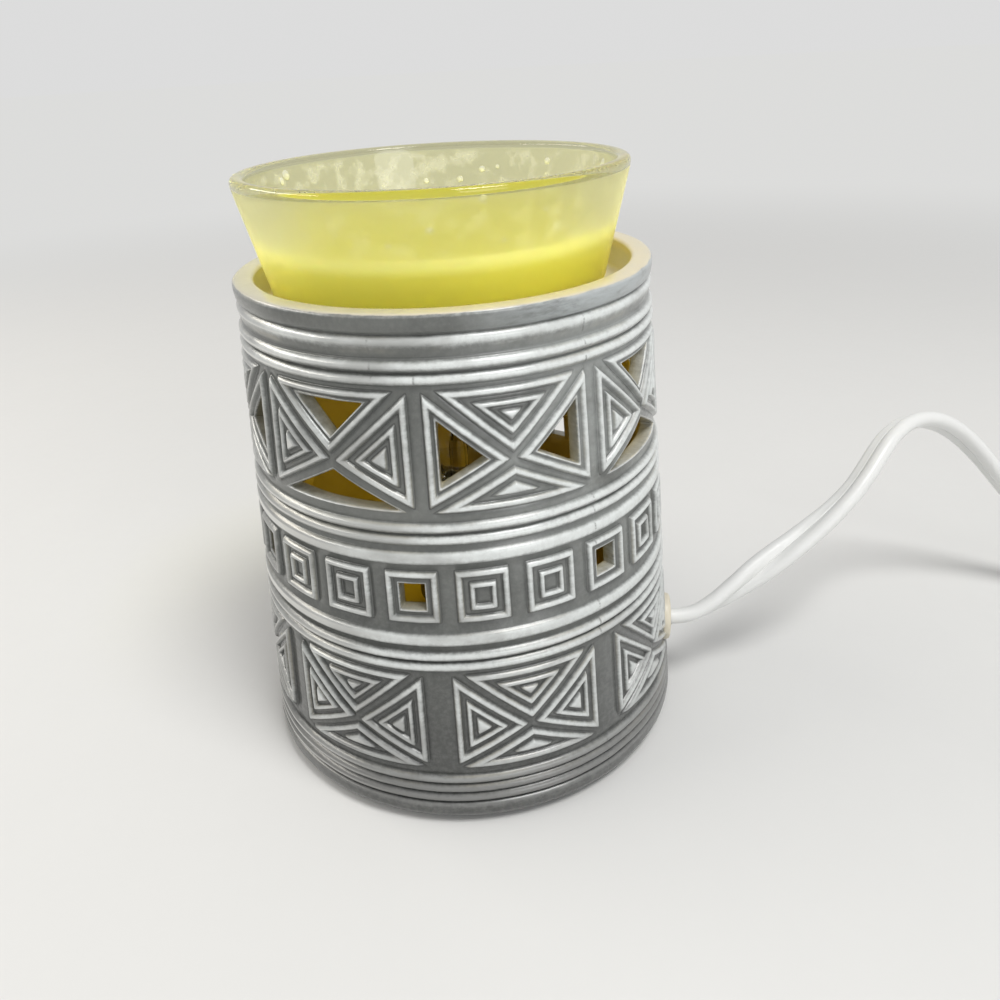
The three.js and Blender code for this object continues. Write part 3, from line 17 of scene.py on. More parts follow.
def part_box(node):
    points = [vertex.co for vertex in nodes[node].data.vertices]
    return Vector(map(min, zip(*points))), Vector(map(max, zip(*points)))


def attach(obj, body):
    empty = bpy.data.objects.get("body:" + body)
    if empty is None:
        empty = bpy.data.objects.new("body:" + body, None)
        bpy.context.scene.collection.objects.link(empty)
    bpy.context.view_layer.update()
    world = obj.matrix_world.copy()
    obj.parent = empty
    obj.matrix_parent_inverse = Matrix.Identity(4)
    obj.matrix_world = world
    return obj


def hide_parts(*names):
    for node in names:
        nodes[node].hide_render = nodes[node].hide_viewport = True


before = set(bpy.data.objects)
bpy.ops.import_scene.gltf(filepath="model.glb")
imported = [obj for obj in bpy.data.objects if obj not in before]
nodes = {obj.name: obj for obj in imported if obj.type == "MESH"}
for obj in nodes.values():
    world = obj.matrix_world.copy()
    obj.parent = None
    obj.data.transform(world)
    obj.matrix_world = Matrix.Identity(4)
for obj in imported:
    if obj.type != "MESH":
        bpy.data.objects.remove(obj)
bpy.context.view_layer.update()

MM = 0.001
SEED = 7

# Camera, fitted to the photograph
CAMERA_TURN = radians(9.6)  # of the photograph's view round the body
CAMERA_DISTANCE = 176.32  # from the body's axis
CAMERA_HEIGHT = 144.83
CAMERA_PITCH = 0.48935
CAMERA_YAW = 0.0501
CAMERA_ROLL = -0.05495
CAMERA_LENS = 30.422
CAMERA_SENSOR = 36.0

# Body: heights from the table, and radii over its raised bands
BODY_BOTTOM, BODY_TOP = 1.4, 108.0
BASE_RADIUS, TOP_RADIUS = 49.9, 41.7
RELIEF, WALL = 0.9, 2.8
BASE_ROUND = 2.2
BASE_BAND_TOP = 5.8
RIDGE_PITCH = 2.4
LOWER_PANEL_FOOT, UPPER_PANEL_FOOT = 14.95, 72.3
LOWER_RIDGES, MIDDLE_RIDGES, UPPER_RIDGES = 38.2, 65.6, 95.4
LOWER_FLAT_BAND, UPPER_FLAT_BAND, FLAT_BAND = 44.1, 61.7, 3.0
RIM_RIDGE_FOOT, RIM_RIDGE = 100.3, 4.1
LIP_FOOT = RIM_RIDGE_FOOT + RIM_RIDGE
LIP_RADIUS, MOUTH_RADIUS, LIP_ROUND = 42.1, 37.9, 0.8
SHELF_TOP, SHELF_FOOT, SHELF_HOLE, SHELF_FILLET = 101.2, 98.2, 25.0, 4.0
UNDERSIDE_RADIUS, UNDERSIDE_TOP = 30.0, 4.2
FLOOR_TOP, FLOOR_FILLET, SCREW_HOLE = 7.8, 3.0, 2.9
SEGMENTS = 168  # round the body: a whole number for each panel and each square

# Relief
PANELS = 8
PANEL_WIDTH, PANEL_HEIGHT, CROSSING = 31.2, 22.2, 9.0
SPREAD = 0.25  # by which the ribs' feet stand outside the outlines
RING, INNER_RING_INSET, INNER_RING, CORE_INSET = 1.65, 2.45, 1.3, 4.35
FOOT_CORE_INSET = 2.5
WINDOW_INSET, FOOT_WINDOW_INSET = 2.35, 0.55
WINDOW_LIP = 0.42
DIP, DIP_REACH = 0.18, 0.17  # of the ground at the foot of a rib
SQUARES, PIERCED_EVERY = 21, 3
SQUARE_TURN = -2 * 2 * pi / SEGMENTS
SQUARE_WIDTH, SQUARE_HEIGHT, SQUARE_MIDDLE = 10.1, 10.7, 54.9
SQUARE_RING, SQUARE_INNER_INSET, SQUARE_INNER, SQUARE_WINDOW = 1.65, 2.6, 1.3, 2.75
CORNER_ROUND = 0.25
CORNER_STEPS, OUTLINE_STEP = 3, 2.2
OUTSIDE_SPACING, INSIDE_SPACING = 2.6, 4.0  # of points on the ground between outlines
RIB_SAMPLES = (-1, -0.84, -0.55, 0, 0.55, 0.84, 1)
RIDGE_SAMPLES = (0.03, 0.1, 0.2, 0.34, 0.5, 0.66, 0.8, 0.9, 0.97)
RIB_POWER, FLAT_BAND_POWER, RIM_RIDGE_POWER = 2.2, 4.5, 2.5  # the higher, the flatter the crest
RIM_RIDGE_CREST, RIM_RIDGE_FOOT_POWER = 0.68, 1.1
WAVES = ((0.10, 0.09), (0.045, 0.45))  # of the hand-cast wall: depth, and waves in a millimetre

# Finish of the body, in metres and radians
WASH_AND_LIGHT_SIDE = 1.15  # the side where the whitewash is thickest, also the key lamp's side: colours keyed to it are partly wash, partly painted light and shade
SEAM_MARKS = (  # turn, from, to
    (0.755, 0.0, 0.1055),
    (-0.166, 0.0955, 0.1045),
    (0.01, 0.0953, 0.0977),
)
MARK_END = 0.0006

# Dish and wax, from the dish's foot
DISH_X, DISH_FOOT = -0.9, 101.5
DISH_HEIGHT, DISH_WALL, DISH_CORNER = 24.9, 2.8, 4.0
DISH_HOLLOW = DISH_CORNER - DISH_WALL / 2
DISH_FOOT_RADIUS, DISH_RIM_RADIUS = 33.2, 38.7
DISH_SIDES = 288
DISH_UNDERSIDE = ((0, 0.9), (22, 0.8), (24.5, 0.2), (26, 0))
FROST_TOP = 23.3
WAX_FOOT, WAX_TOP, WAX_SAG = 3.1, 13.5, 0.8

# Lead
CORD_WIDTH, CORD_THICKNESS = 7.3, 3.7
CORD_EXIT = (50.6, 0.0, 19.1)
LEAD_START = (44.0, 0.0, 19.1)  # inside the bushing
LEAD_ROUTE = [
    CORD_EXIT,
    (55.0, 0.5, 19.4),
    (60.7, 2.4, 21.9),
    (66.7, 4.6, 25.6),
    (72.7, 7.0, 29.4),
    (78.8, 9.7, 33.1),
    (85.0, 12.8, 37.0),
    (91.1, 16.1, 41.3),
    (96.2, 19.9, 45.6),
    (100.4, 24.4, 50.0),
    (104.6, 29.4, 53.6),
    (110.0, 34.2, 55.6),
    (116.8, 38.4, 55.0),
    (124.2, 41.6, 51.4),
    (131.8, 43.8, 45.2),
    (139.2, 44.9, 37.2),
    (146.4, 44.9, 28.6),
    (153.6, 44.0, 20.6),
    (161.0, 42.6, 13.8),
    (168.8, 41.4, 10.0),
    (178.0, 41.0, 9.2),
]
LEAD_TWIST = (148, 148, 142, 126, 96, 54, 20, 2, -18, -32, -36)  # in degrees, up to the bend
LEAD_TWIST += (-35, -32, -28, -24, -20, -16, -12, -8, -4, -1, 0)
SWITCH_END = 230.3
COIL_TURNS, COIL_RADIUS, COIL_PITCH, COIL_INNER_STEP = 5.5, 42.0, 4.3, 4.4
COIL_LOW, COIL_HIGH = 4.75, 12.65
PLUG_TAIL, PLUG_MIDDLE = 222.9, 7.5
JOIN_GAP = 0.3
COIL_X, COIL_Y = SWITCH_END + COIL_RADIUS - CORD_WIDTH, LEAD_ROUTE[-1][1] - COIL_RADIUS

# Tie: a flat strap round the turns, its end lapped over on top
TIE_ANGLE = radians(20)
TIE_THICKNESS, TIE_WIDTH, TIE_ROUND, TIE_EDGE = 0.8, 6.0, 3.0, 0.25
TIE_INNER, TIE_OUTER, TIE_TOP = 28.3, 43.6, 16.6


def raised(z):
    return BASE_RADIUS - (BASE_RADIUS - TOP_RADIUS) / (BODY_TOP - BODY_BOTTOM) * (z - BODY_BOTTOM)


def ground(z):
    return raised(z) - RELIEF


def inside(z):
    return ground(z) - WALL


# Meshes


def in_scene(name, data):
    thing = bpy.data.objects.new(name, data)
    bpy.context.scene.collection.objects.link(thing)
    return thing


def unit(rows):
    return rows / norm(rows, axis=1)[:, None]


def arc(middle, radius, start, end, steps):
    """Points on a circle, from one angle to another."""
    turns = np.linspace(start, end, steps)
    return [(middle[0] + radius * cos(a), middle[1] + radius * sin(a)) for a in turns]


def mesh_object(name, points, faces, material, attributes=None, sharp=None):
    """A smooth-shaded object from points in millimetres, with its doubles merged."""
    mesh = bpy.data.meshes.new(name)
    mesh.from_pydata((np.asarray(points, float) * MM).tolist(), [], faces)
    for key, values in (attributes or {}).items():
        layer = mesh.attributes.new(key, "FLOAT", "POINT")
        layer.data.foreach_set("value", np.asarray(values, np.float32))
    work = bmesh.new()
    work.from_mesh(mesh)
    bmesh.ops.remove_doubles(work, verts=work.verts, dist=2e-6)
    bmesh.ops.recalc_face_normals(work, faces=work.faces)
    work.to_mesh(mesh)
    work.free()
    mesh.polygons.foreach_set("use_smooth", [True] * len(mesh.polygons))
    if sharp:
        mesh.set_sharp_from_angle(angle=radians(sharp))
    mesh.materials.append(material)
    return in_scene(name, mesh)


def bend(start, corner, end, steps):
    """Points on a curve from start to end that cuts off the corner between them."""
    t = np.linspace(0, 1, steps)[:, None]
    return (1 - t) ** 2 * start + 2 * t * (1 - t) * corner + t**2 * end


def soften(profile, size, steps=4):
    """A profile with each of its inner corners rounded off."""
    points = [np.array(p, float) for p in profile]
    out = [points[0]]
    for before, corner, after in zip(points, points[1:], points[2:]):
        reach = min(size, 0.45 * norm(before - corner), 0.45 * norm(after - corner))
        start = corner + (before - corner) / norm(before - corner) * reach
        end = corner + (after - corner) / norm(after - corner) * reach
        out.extend(bend(start, corner, end, steps))
    return out + [points[-1]]


def quads(rows, sides, closed=False, start=0):
    """Faces between neighbouring rows of points, each row closed on itself."""
    faces = []
    for i in range(rows if closed else rows - 1):
        low, high = start + i * sides, start + (i + 1) % rows * sides
        for k in range(sides):
            following = (k + 1) % sides
            faces.append((low + k, low + following, high + following, high + k))
    return faces


def capped(rows, sides):
    """As quads, with a face over the first row and one over the last."""
    last = rows * sides - 1
    return [tuple(range(sides)), tuple(last - k for k in range(sides))] + quads(rows, sides)


def turned(name, profile, material, sides=64, middle=(0, 0), values=None, sharp=35):
    """A profile of (radius, height) turned about a vertical axis."""
    points, layers = [], {key: [] for key in values or {}}
    for r, z in profile:
        for k in range(sides):
            turn = 2 * pi * k / sides
            points.append((middle[0] + r * cos(turn), middle[1] + r * sin(turn), z))
            for key, rule in (values or {}).items():
                layers[key].append(rule(r, z))
    closed = profile[0][0] > 1e-6 or profile[-1][0] > 1e-6
    return mesh_object(name, points, quads(len(profile), sides, closed), material, layers, sharp)


def stand_for(piece, body, slot, *replaced):
    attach(piece, body)
    if replaced:
        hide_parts(*replaced)
    return piece


# Materials


def put(tree, socket, value):
    if isinstance(value, bpy.types.NodeSocket):
        tree.links.new(value, socket)
    else:
        socket.default_value = value


def feed(tree, node, **inputs):
    """Values or links for a node's inputs."""
    for key, value in inputs.items():
        put(tree, node.inputs[key.replace("_", " ")], value)


def add(tree, kind, settings=None, **inputs):
    """A shader node, with its settings and inputs."""
    node = tree.nodes.new("ShaderNode" + kind)
    for key, value in (settings or {}).items():
        setattr(node, key, value)
    feed(tree, node, **inputs)
    return node


def mix(tree, share, first, second):
    node = add(tree, "Mix", {"data_type": "RGBA"})
    for index, value in ((0, share), (6, first), (7, second)):
        if isinstance(value, tuple) and len(value) == 3:
            value = (*value, 1)
        put(tree, node.inputs[index], value)
    return node.outputs[2]


def calc(tree, operation, first, second=0.0, clamp=False):
    node = add(tree, "Math", {"operation": operation, "use_clamp": clamp})
    put(tree, node.inputs[0], first)
    put(tree, node.inputs[1], second)
    return node.outputs[0]


def times(tree, first, second):
    return calc(tree, "MULTIPLY", first, second)


def plus(tree, first, second):
    return calc(tree, "ADD", first, second)


def larger(tree, first, second):
    return calc(tree, "MAXIMUM", first, second)


def fade(tree, value, low, high, start=0.0, end=1.0):
    """value turned into start at low and end at high, smoothly."""
    ends = {"From_Min": low, "From_Max": high, "To_Min": start, "To_Max": end}
    return add(tree, "MapRange", {"interpolation_type": "SMOOTHSTEP"}, Value=value, **ends).outputs[0]


def shares(tree, *fades):
    """The product of several fades."""
    product = fade(tree, *fades[0])
    for values in fades[1:]:
        product = times(tree, product, fade(tree, *values))
    return product


def layer(tree, color, tone, *fades):
    """A colour with a tone laid over it, as far as the fades let it."""
    return mix(tree, shares(tree, *fades), color, tone)


def axes(tree, vector):
    return add(tree, "SeparateXYZ", Vector=vector).outputs


def grain(tree, size, detail=4.0, roughness=0.55, stretch=(1, 1, 1)):
    """Noise whose lumps are about size metres across."""
    place = add(tree, "TexCoord").outputs["Object"]
    scaled = add(tree, "Mapping", Vector=place, Scale=stretch).outputs[0]
    return add(
        tree, "TexNoise", Vector=scaled, Scale=1 / size, Detail=detail, Roughness=roughness
    ).outputs["Fac"]


def attribute(tree, name):
    return add(tree, "Attribute", {"attribute_name": name}).outputs["Fac"]


def bump(tree, height, distance, strength, **normal):
    return add(tree, "Bump", Height=height, Distance=distance, Strength=strength, **normal).outputs[0]


def principled(name, **inputs):
    material = bpy.data.materials.new(name)
    material.use_nodes = True
    shader = material.node_tree.nodes["Principled BSDF"]
    feed(material.node_tree, shader, **inputs)
    return material, material.node_tree, shader


def plain(name, color, roughness, size=0.002, spread=0.12, depth=0.00003, **inputs):
    """One material with mottled colour, uneven gloss and a fine bump."""
    material, tree, shader = principled(name, **inputs)
    lumps = grain(tree, size)
    fine = grain(tree, size / 6, 3.0)
    dark = tuple(c * (1 - spread) for c in color)
    light = tuple(min(1.0, c * (1 + spread)) for c in color)
    gloss = fade(tree, fine, 0.25, 0.75, max(0.02, roughness - 0.08), min(1.0, roughness + 0.08))
    feed(tree, shader, Base_Color=mix(tree, lumps, dark, light), Roughness=gloss)
    feed(tree, shader, Normal=bump(tree, fine, depth, 0.5))
    return material


def ceramic_material():
    """Grey stain in the ground, whitewash on the relief, bare cream clay at lip and windows."""
    gloss = {"IOR": 1.5, "Coat_Weight": 0.6, "Coat_Roughness": 0.2}
    material, tree, shader = principled("ceramic_whitewash", **gloss)
    relief, bare, inner = (attribute(tree, key) for key in ("relief", "bare", "inner"))
    place = axes(tree, add(tree, "TexCoord").outputs["Object"])
    height = place["Z"]
    facing = axes(tree, add(tree, "NewGeometry").outputs["Normal"])["Z"]
    turn = calc(tree, "ARCTAN2", place["X"], times(tree, place["Y"], -1.0))
    side = calc(tree, "COSINE", calc(tree, "SUBTRACT", turn, WASH_AND_LIGHT_SIDE))
    blotch = grain(tree, 0.018, 5.0)
    patch = grain(tree, 0.02, 5.0, 0.55, (1, 1, 2))
    # More wash patches towards the key lamp's side: partly the wash, partly painted light
    patch = plus(tree, patch, fade(tree, side, -0.2, 0.95, -0.09, 0.1))
    speck = grain(tree, 0.0011, 4.0, 0.65)
    brush = grain(tree, 0.004, 5.0, 0.6, (1, 1, 5))

    # Whitewash, duller low down, and darker on the side away from the key lamp as painted shade
    wash = mix(tree, fade(tree, patch, 0.34, 0.6), (0.40, 0.41, 0.40), (0.70, 0.73, 0.72))
    wash = layer(tree, wash, (0.50, 0.51, 0.50), (speck, 0.6, 0.35, 0.0, 0.25))
    away = shares(tree, (side, 0.1, -0.6, 0.0, 0.6), (height, 0.062, 0.074, 1.0, 0.45))
    dull_low_and_shaded = larger(tree, fade(tree, height, 0.03, 0.066, 0.22, 0.0), away)
    wash = mix(tree, dull_low_and_shaded, wash, (0.23, 0.23, 0.225))
    # Darker still near the foot: partly thinner wash, partly painted shade near the table
    wash = layer(tree, wash, (0.14, 0.14, 0.135), (height, 0.009, 0.021, 0.9, 0.0))

    # Stain, darker low down, painted darker in the dip at a rib's foot as shade, with a film of wash
    # over it
    stain = mix(tree, fade(tree, blotch, 0.3, 0.7), (0.100, 0.106, 0.099), (0.136, 0.144, 0.135))
    stain = layer(tree, stain, (0.034, 0.036, 0.034), (height, 0.012, 0.076, 0.9, 0.0))
    stain = layer(tree, stain, (0.25, 0.255, 0.248), (speck, 0.35, 0.75, 0.0, 0.2))
    # Painted shade in the dips at the ribs' feet, where relief is below 0
    stain = layer(tree, stain, (0.035, 0.035, 0.033), (relief, -0.02, -0.16, 0.0, 0.6))
    # The film is lighter towards the key lamp's side: partly wash, partly painted light
    film = ((side, 0.3, 1.0, 0.0, 0.26), (height, 0.05, 0.08, 0.3, 1.0), (patch, 0.4, 0.65))
    stain = layer(tree, stain, wash, *film)

    # The wash lies on what stands proud and is rubbed off some flanks; undersides get less of it, as
    # painted shade from above
    wash_cover_and_shade = plus(tree, relief, fade(tree, brush, 0.25, 0.75, -0.1, 0.09))
    wash_cover_and_shade = plus(tree, wash_cover_and_shade, fade(tree, speck, 0.3, 0.7, -0.06, 0.06))
    # Painted shade: surfaces facing down are darker
    wash_cover_and_shade = plus(tree, wash_cover_and_shade, fade(tree, facing, -0.55, 0.4, -0.45, 0.08))
    color = layer(tree, stain, wash, (wash_cover_and_shade, 0.12, 0.98))
    # Painted highlight: lighter crests on the side away from the key lamp, towards the left lamp
    crest = ((relief, 0.9, 1.0), (side, 0.3, -0.5, 0.0, 0.7))
    color = layer(tree, color, (0.80, 0.80, 0.77), *crest)
    flank = ((relief, 0.1, 0.4), (relief, 0.9, 0.5), (blotch, 0.48, 0.64, 0.0, 0.3))
    color = layer(tree, color, (0.44, 0.41, 0.33), *flank, (height, 0.006, 0.012))

    # Marks of the mould's seams
    marks = None
    for at, low, high in SEAM_MARKS:
        apart = calc(tree, "ABSOLUTE", calc(tree, "SUBTRACT", turn, at))
        ends = ((height, low, low + MARK_END), (height, high, high - MARK_END))
        line = shares(tree, *ends, (apart, 0.002, 0.007, 1.0, 0.0))
        marks = line if marks is None else larger(tree, marks, line)
    marks = times(tree, marks, shares(tree, (brush, 0.4, 0.6), (relief, 0.05, 0.4, 0.3, 1.0)))
    color = mix(tree, times(tree, marks, 0.6), color, (0.13, 0.13, 0.125))

    # Brush strokes on the lip, and bare clay where the wash is chipped or left off
    lip = (height, (LIP_FOOT - 0.2) * MM, (LIP_FOOT + 0.3) * MM)
    strokes = (lip, (side, 0.55, 0.98, 0.0, 0.85), (brush, 0.22, 0.6, 0.2, 1.0))
    color = layer(tree, color, (0.44, 0.475, 0.485), *strokes)
    clay = mix(tree, brush, (0.56, 0.505, 0.38), (0.70, 0.64, 0.49))
    # Painted shade: the clay is greyer on the side away from the key lamp
    clay = layer(tree, clay, (0.41, 0.395, 0.35), (side, 0.7, -0.3, 0.0, 0.75))
    # Painted shade: the clay inside the mouth, above the shelf, is greyer and darker
    mouth_shade = ((height, 0.107, 0.1055, 0.0, 0.5), (height, 0.0975, 0.0985))
    clay = layer(tree, clay, (0.42, 0.44, 0.47), *mouth_shade)
    chipped = plus(tree, bare, fade(tree, brush, 0.3, 0.7, -0.22, 0.22))
    color = layer(tree, color, clay, (chipped, 0.2, 0.75), (bare, 0.0, 0.12))
    # Painted light: the inside is amber, as if lit yellow through the wax, on cream clay
    painted_wax_light = mix(tree, blotch, (0.62, 0.50, 0.17), (0.74, 0.61, 0.24))
    feed(tree, shader, Base_Color=mix(tree, inner, color, painted_wax_light))

    pearl = shares(tree, (side, 0.4, -0.3, 0.0, 0.4), (bare, 0.3, 0.0), (inner, 0.2, 0.0))
    feed(tree, shader, Roughness=fade(tree, brush, 0.3, 0.7, 0.28, 0.42), Metallic=pearl)
    coarse = bump(tree, calc(tree, "SUBTRACT", brush, marks), 0.00012, 0.35)
    feed(tree, shader, Normal=bump(tree, speck, 0.00005, 0.5, Normal=coarse))
    return material


def blend(tree, share, first, second):
    """A mix of two surfaces, or skies, as the tree's result."""
    both = add(tree, "MixShader", Fac=share)
    tree.links.new(first, both.inputs[1])
    tree.links.new(second, both.inputs[2])
    result = next(node for node in tree.nodes if node.type.startswith("OUTPUT"))
    tree.links.new(both.outputs[0], result.inputs["Surface"])


def through(tree, shader, color, share):
    """Lets a share of the lamps' light pass through a surface in a colour."""
    clear = add(tree, "BsdfTransparent", Color=(*color, 1)).outputs[0]
    lamp_ray = add(tree, "LightPath").outputs["Is Shadow Ray"]
    blend(tree, times(tree, lamp_ray, share), shader.outputs[0], clear)


def glass_material(name, color, frost, transmission=1.0, roughness=0.02):
    """Glass that lets lamplight through, rough where the attribute frost is 1."""
    clear = {"IOR": 1.47, "Transmission_Weight": transmission, "Base_Color": (*color, 1)}
    material, tree, shader = principled(name, **clear)
    cloud = grain(tree, 0.0015, 3.0)
    if frost:
        frosted_share = attribute(tree, "frost")
        patches = fade(tree, grain(tree, 0.0036, 3.0, 0.5), 0.46, 0.66, 0.0, 0.3)
        film = times(tree, attribute(tree, "film"), patches)
        # Painted light and shade: the clear glass is tinted a deep yellow-grey for the wax's light
        # caught in the rim and the shade seen through it
        tint = mix(tree, frosted_share, (0.66, 0.645, 0.42), color)
        tint = mix(tree, times(tree, film, 1.7), tint, (0.96, 0.95, 0.84))
        veil = calc(tree, "ADD", times(tree, frosted_share, 0.07), film, True)
        rough = times(tree, frosted_share, fade(tree, cloud, 0.2, 0.8, 0.5, 0.6))
        rough = plus(tree, plus(tree, rough, times(tree, film, 0.6)), 0.03)
        feed(tree, shader, Base_Color=tint, Transmission_Weight=calc(tree, "SUBTRACT", 1.0, veil))
    else:
        rough = fade(tree, cloud, 0.2, 0.8, roughness, roughness + 0.04)
    feed(tree, shader, Roughness=rough, Normal=bump(tree, grain(tree, 0.012, 1.0), 0.00003, 0.1))
    through(tree, shader, color, 1.0)
    return material


def wax_material():
    material, tree, shader = principled(
        "wax_yellow", Subsurface_Weight=0.35, Subsurface_Radius=(0.004, 0.003, 0.0006), IOR=1.44
    )
    cloud = grain(tree, 0.007, 4.0)
    fine = grain(tree, 0.0009, 3.0)
    height = axes(tree, add(tree, "TexCoord").outputs["Object"])["Z"]
    foot = (DISH_FOOT + WAX_FOOT) * MM
    color = mix(tree, cloud, (0.73, 0.69, 0.05), (0.78, 0.745, 0.075))
    # Painted shade: darker towards the wax's foot, where the body's shelf shades it
    color = layer(tree, color, (0.58, 0.51, 0.025), (height, foot + 0.007, foot, 0.0, 0.3))
    # Painted light: a pale glow along the wax's edge where it climbs the glass
    color = mix(tree, attribute(tree, "edge"), color, (0.98, 0.965, 0.42))
    feed(tree, shader, Base_Color=color, Roughness=fade(tree, cloud, 0.3, 0.7, 0.3, 0.45))
    feed(tree, shader, Normal=bump(tree, fine, 0.00003, 0.4))
    through(tree, shader, (0.92, 0.80, 0.28), 0.75)
    return material


ceramic = ceramic_material()
dish_glass = glass_material("dish_glass", (0.905, 0.89, 0.56), True)
splash_glass = glass_material("splash_wax", (0.97, 0.97, 0.9), False, 0.45, 0.3)
lamp_glass = glass_material("lamp_glass", (0.97, 0.97, 0.95), False)
wax_yellow = wax_material()
white_vinyl = plain("white_vinyl", (0.77, 0.775, 0.765), 0.36, 0.004, 0.03, 0.00002, IOR=1.5)
ivory_plastic = plain("ivory_plastic", (0.66, 0.61, 0.49), 0.45, 0.003, 0.06)
wheel_plastic = plain("wheel_plastic", (0.66, 0.64, 0.58), 0.45, 0.002, 0.06)
black_phenolic = plain("black_phenolic", (0.035, 0.03, 0.027), 0.38, 0.002, 0.2)
foot_rubber = plain("foot_rubber", (0.05, 0.048, 0.045), 0.8, 0.001, 0.2)
tie_plastic = plain("tie_plastic", (0.03, 0.03, 0.03), 0.55, 0.001, 0.15)
core_insulation = plain("core_insulation", (0.78, 0.76, 0.70), 0.45, 0.002, 0.05)
black_glass = plain("black_glass", (0.02, 0.02, 0.023), 0.12, 0.002, 0.2)
satin_steel = plain("satin_steel", (0.60, 0.61, 0.62), 0.32, 0.0008, 0.08, Metallic=1.0)
dull_solder = plain("dull_solder", (0.52, 0.51, 0.49), 0.45, 0.0008, 0.12, Metallic=1.0)
cap_aluminium = plain("cap_aluminium", (0.74, 0.75, 0.76), 0.3, 0.0008, 0.06, Metallic=1.0)
contact_brass = plain("contact_brass", (0.74, 0.55, 0.24), 0.3, 0.0008, 0.1, Metallic=1.0)
tungsten = plain("tungsten", (0.30, 0.29, 0.28), 0.4, 0.0004, 0.1, Metallic=1.0)

# Camera


def make_camera():
    pitch, yaw, roll = CAMERA_PITCH, CAMERA_YAW, CAMERA_ROLL
    ahead = Vector((sin(yaw) * cos(pitch), cos(yaw) * cos(pitch), -sin(pitch)))
    level = Vector((cos(yaw), -sin(yaw), 0))
    upright = level.cross(ahead)
    right = cos(roll) * level + sin(roll) * upright
    up = cos(roll) * upright - sin(roll) * level
    place = Matrix((right, up, -ahead)).transposed().to_4x4()
    place.translation = Vector((0, -CAMERA_DISTANCE, CAMERA_HEIGHT)) * MM
    data = bpy.data.cameras.new("camera")
    data.sensor_width = CAMERA_SENSOR
    data.sensor_fit = "HORIZONTAL"
    data.lens = CAMERA_LENS
    data.clip_start, data.clip_end = 0.005, 50
    camera = in_scene("camera", data)
    camera.matrix_world = Matrix.Rotation(CAMERA_TURN, 4, "Z") @ place
    bpy.context.scene.camera = camera


make_camera()

# Lead


def spline(route, per_span):
    """Points on a smooth curve through a route."""
    p = np.array(route, float)
    p = np.vstack([2 * p[0] - p[1], p, 2 * p[-1] - p[-2]])
    out = []
    for a, b, c, d in zip(p, p[1:], p[2:], p[3:]):
        square, cube = 2 * a - 5 * b + 4 * c - d, 3 * b - a - 3 * c + d
        for t in np.arange(per_span) / per_span:
            out.append(0.5 * (2 * b + (c - a) * t + square * t**2 + cube * t**3))
    return np.array(out + [p[-2]])


def smoothed(points, passes):
    """The same points with the corners between them eased."""
    for _ in range(passes):
        points = np.vstack([points[:1], (points[:-2] + 2 * points[1:-1] + points[2:]) / 4, points[-1:]])
    return points


def directions(points):
    return unit(np.gradient(points, axis=0))


def twisted(points, twists):
    """The direction of the flat lead's width: level at a twist of 0, upright at 90."""
    along = directions(points)
    degrees = np.interp(np.linspace(0, 1, len(points)), np.linspace(0, 1, len(twists)), twists)
    sides = []
    for direction, angle in zip(along, np.radians(degrees)):
        level = np.array([-direction[1], direction[0], 0])
        level /= norm(level)
        sides.append(level * cos(angle) + np.cross(direction, level) * sin(angle))
    return np.array(sides)


def cord_section(per_core=16):
    """Two round cores side by side, joined by a flat web with a fine groove along each face."""
    radius = CORD_THICKNESS / 2
    offset = CORD_WIDTH / 2 - radius
    reach = radians(128)
    section = arc((offset, 0), radius, -reach, reach, per_core)
    web = section[-1][1]
    groove = ((0.42, 0.02), (0.18, 0.14), (0.0, 0.36), (-0.18, 0.14), (-0.42, 0.02))
    section += [(across, web - depth) for across, depth in groove]
    return section + [(-x, -y) for x, y in section]


def cord(name, points, sides, nodes_replaced):
    section = cord_section()
    rows = []
    for p, direction, side in zip(points, directions(points), sides):
        side = side - direction * side.dot(direction)
        side /= norm(side)
        up = np.cross(direction, side)
        rows.extend(p + side * w + up * t for w, t in section)
    piece = mesh_object(name, rows, capped(len(points), len(section)), white_vinyl, sharp=75)
    return stand_for(piece, "warmer_base", "cord_jacket", *nodes_replaced)


def length_of(points):
    return float(norm(np.diff(points, axis=0), axis=1).sum()) * MM


def coil_point(turns):
    """Two layers of turns on edge: winding in, climbing, and winding out again."""
    from_middle = turns - COIL_TURNS / 2
    reach = abs(from_middle)
    least = COIL_RADIUS - COIL_INNER_STEP - COIL_PITCH * (COIL_TURNS / 2 - 0.75)
    step = min(1, max(0, (reach - 0.25) / 0.5))
    radius = least + COIL_INNER_STEP * step + COIL_PITCH * max(0, reach - 0.75)
    climb = min(1, max(0, (from_middle + 0.25) / 0.5))
    climb = climb * climb * (3 - 2 * climb)
    turn = pi / 2 - 2 * pi * turns
    height = COIL_LOW + (COIL_HIGH - COIL_LOW) * climb
    return COIL_X + radius * cos(turn), COIL_Y + radius * sin(turn), height


def slope(start, end):
    """Five points from start to end, level at both ends."""
    start, end = np.array(start), np.array(end)
    points = []
    for share, rise in ((0, 0), (0.25, 0.05), (0.5, 0.5), (0.75, 0.95), (1, 1)):
        point = start + (end - start) * share
        point[2] = start[2] + (end[2] - start[2]) * rise
        points.append(point)
    return points


lead_points = smoothed(spline([LEAD_START, *LEAD_ROUTE], 6), 14)
lead = cord("lead_to_switch", lead_points, twisted(lead_points, LEAD_TWIST), ["cord_lead"])

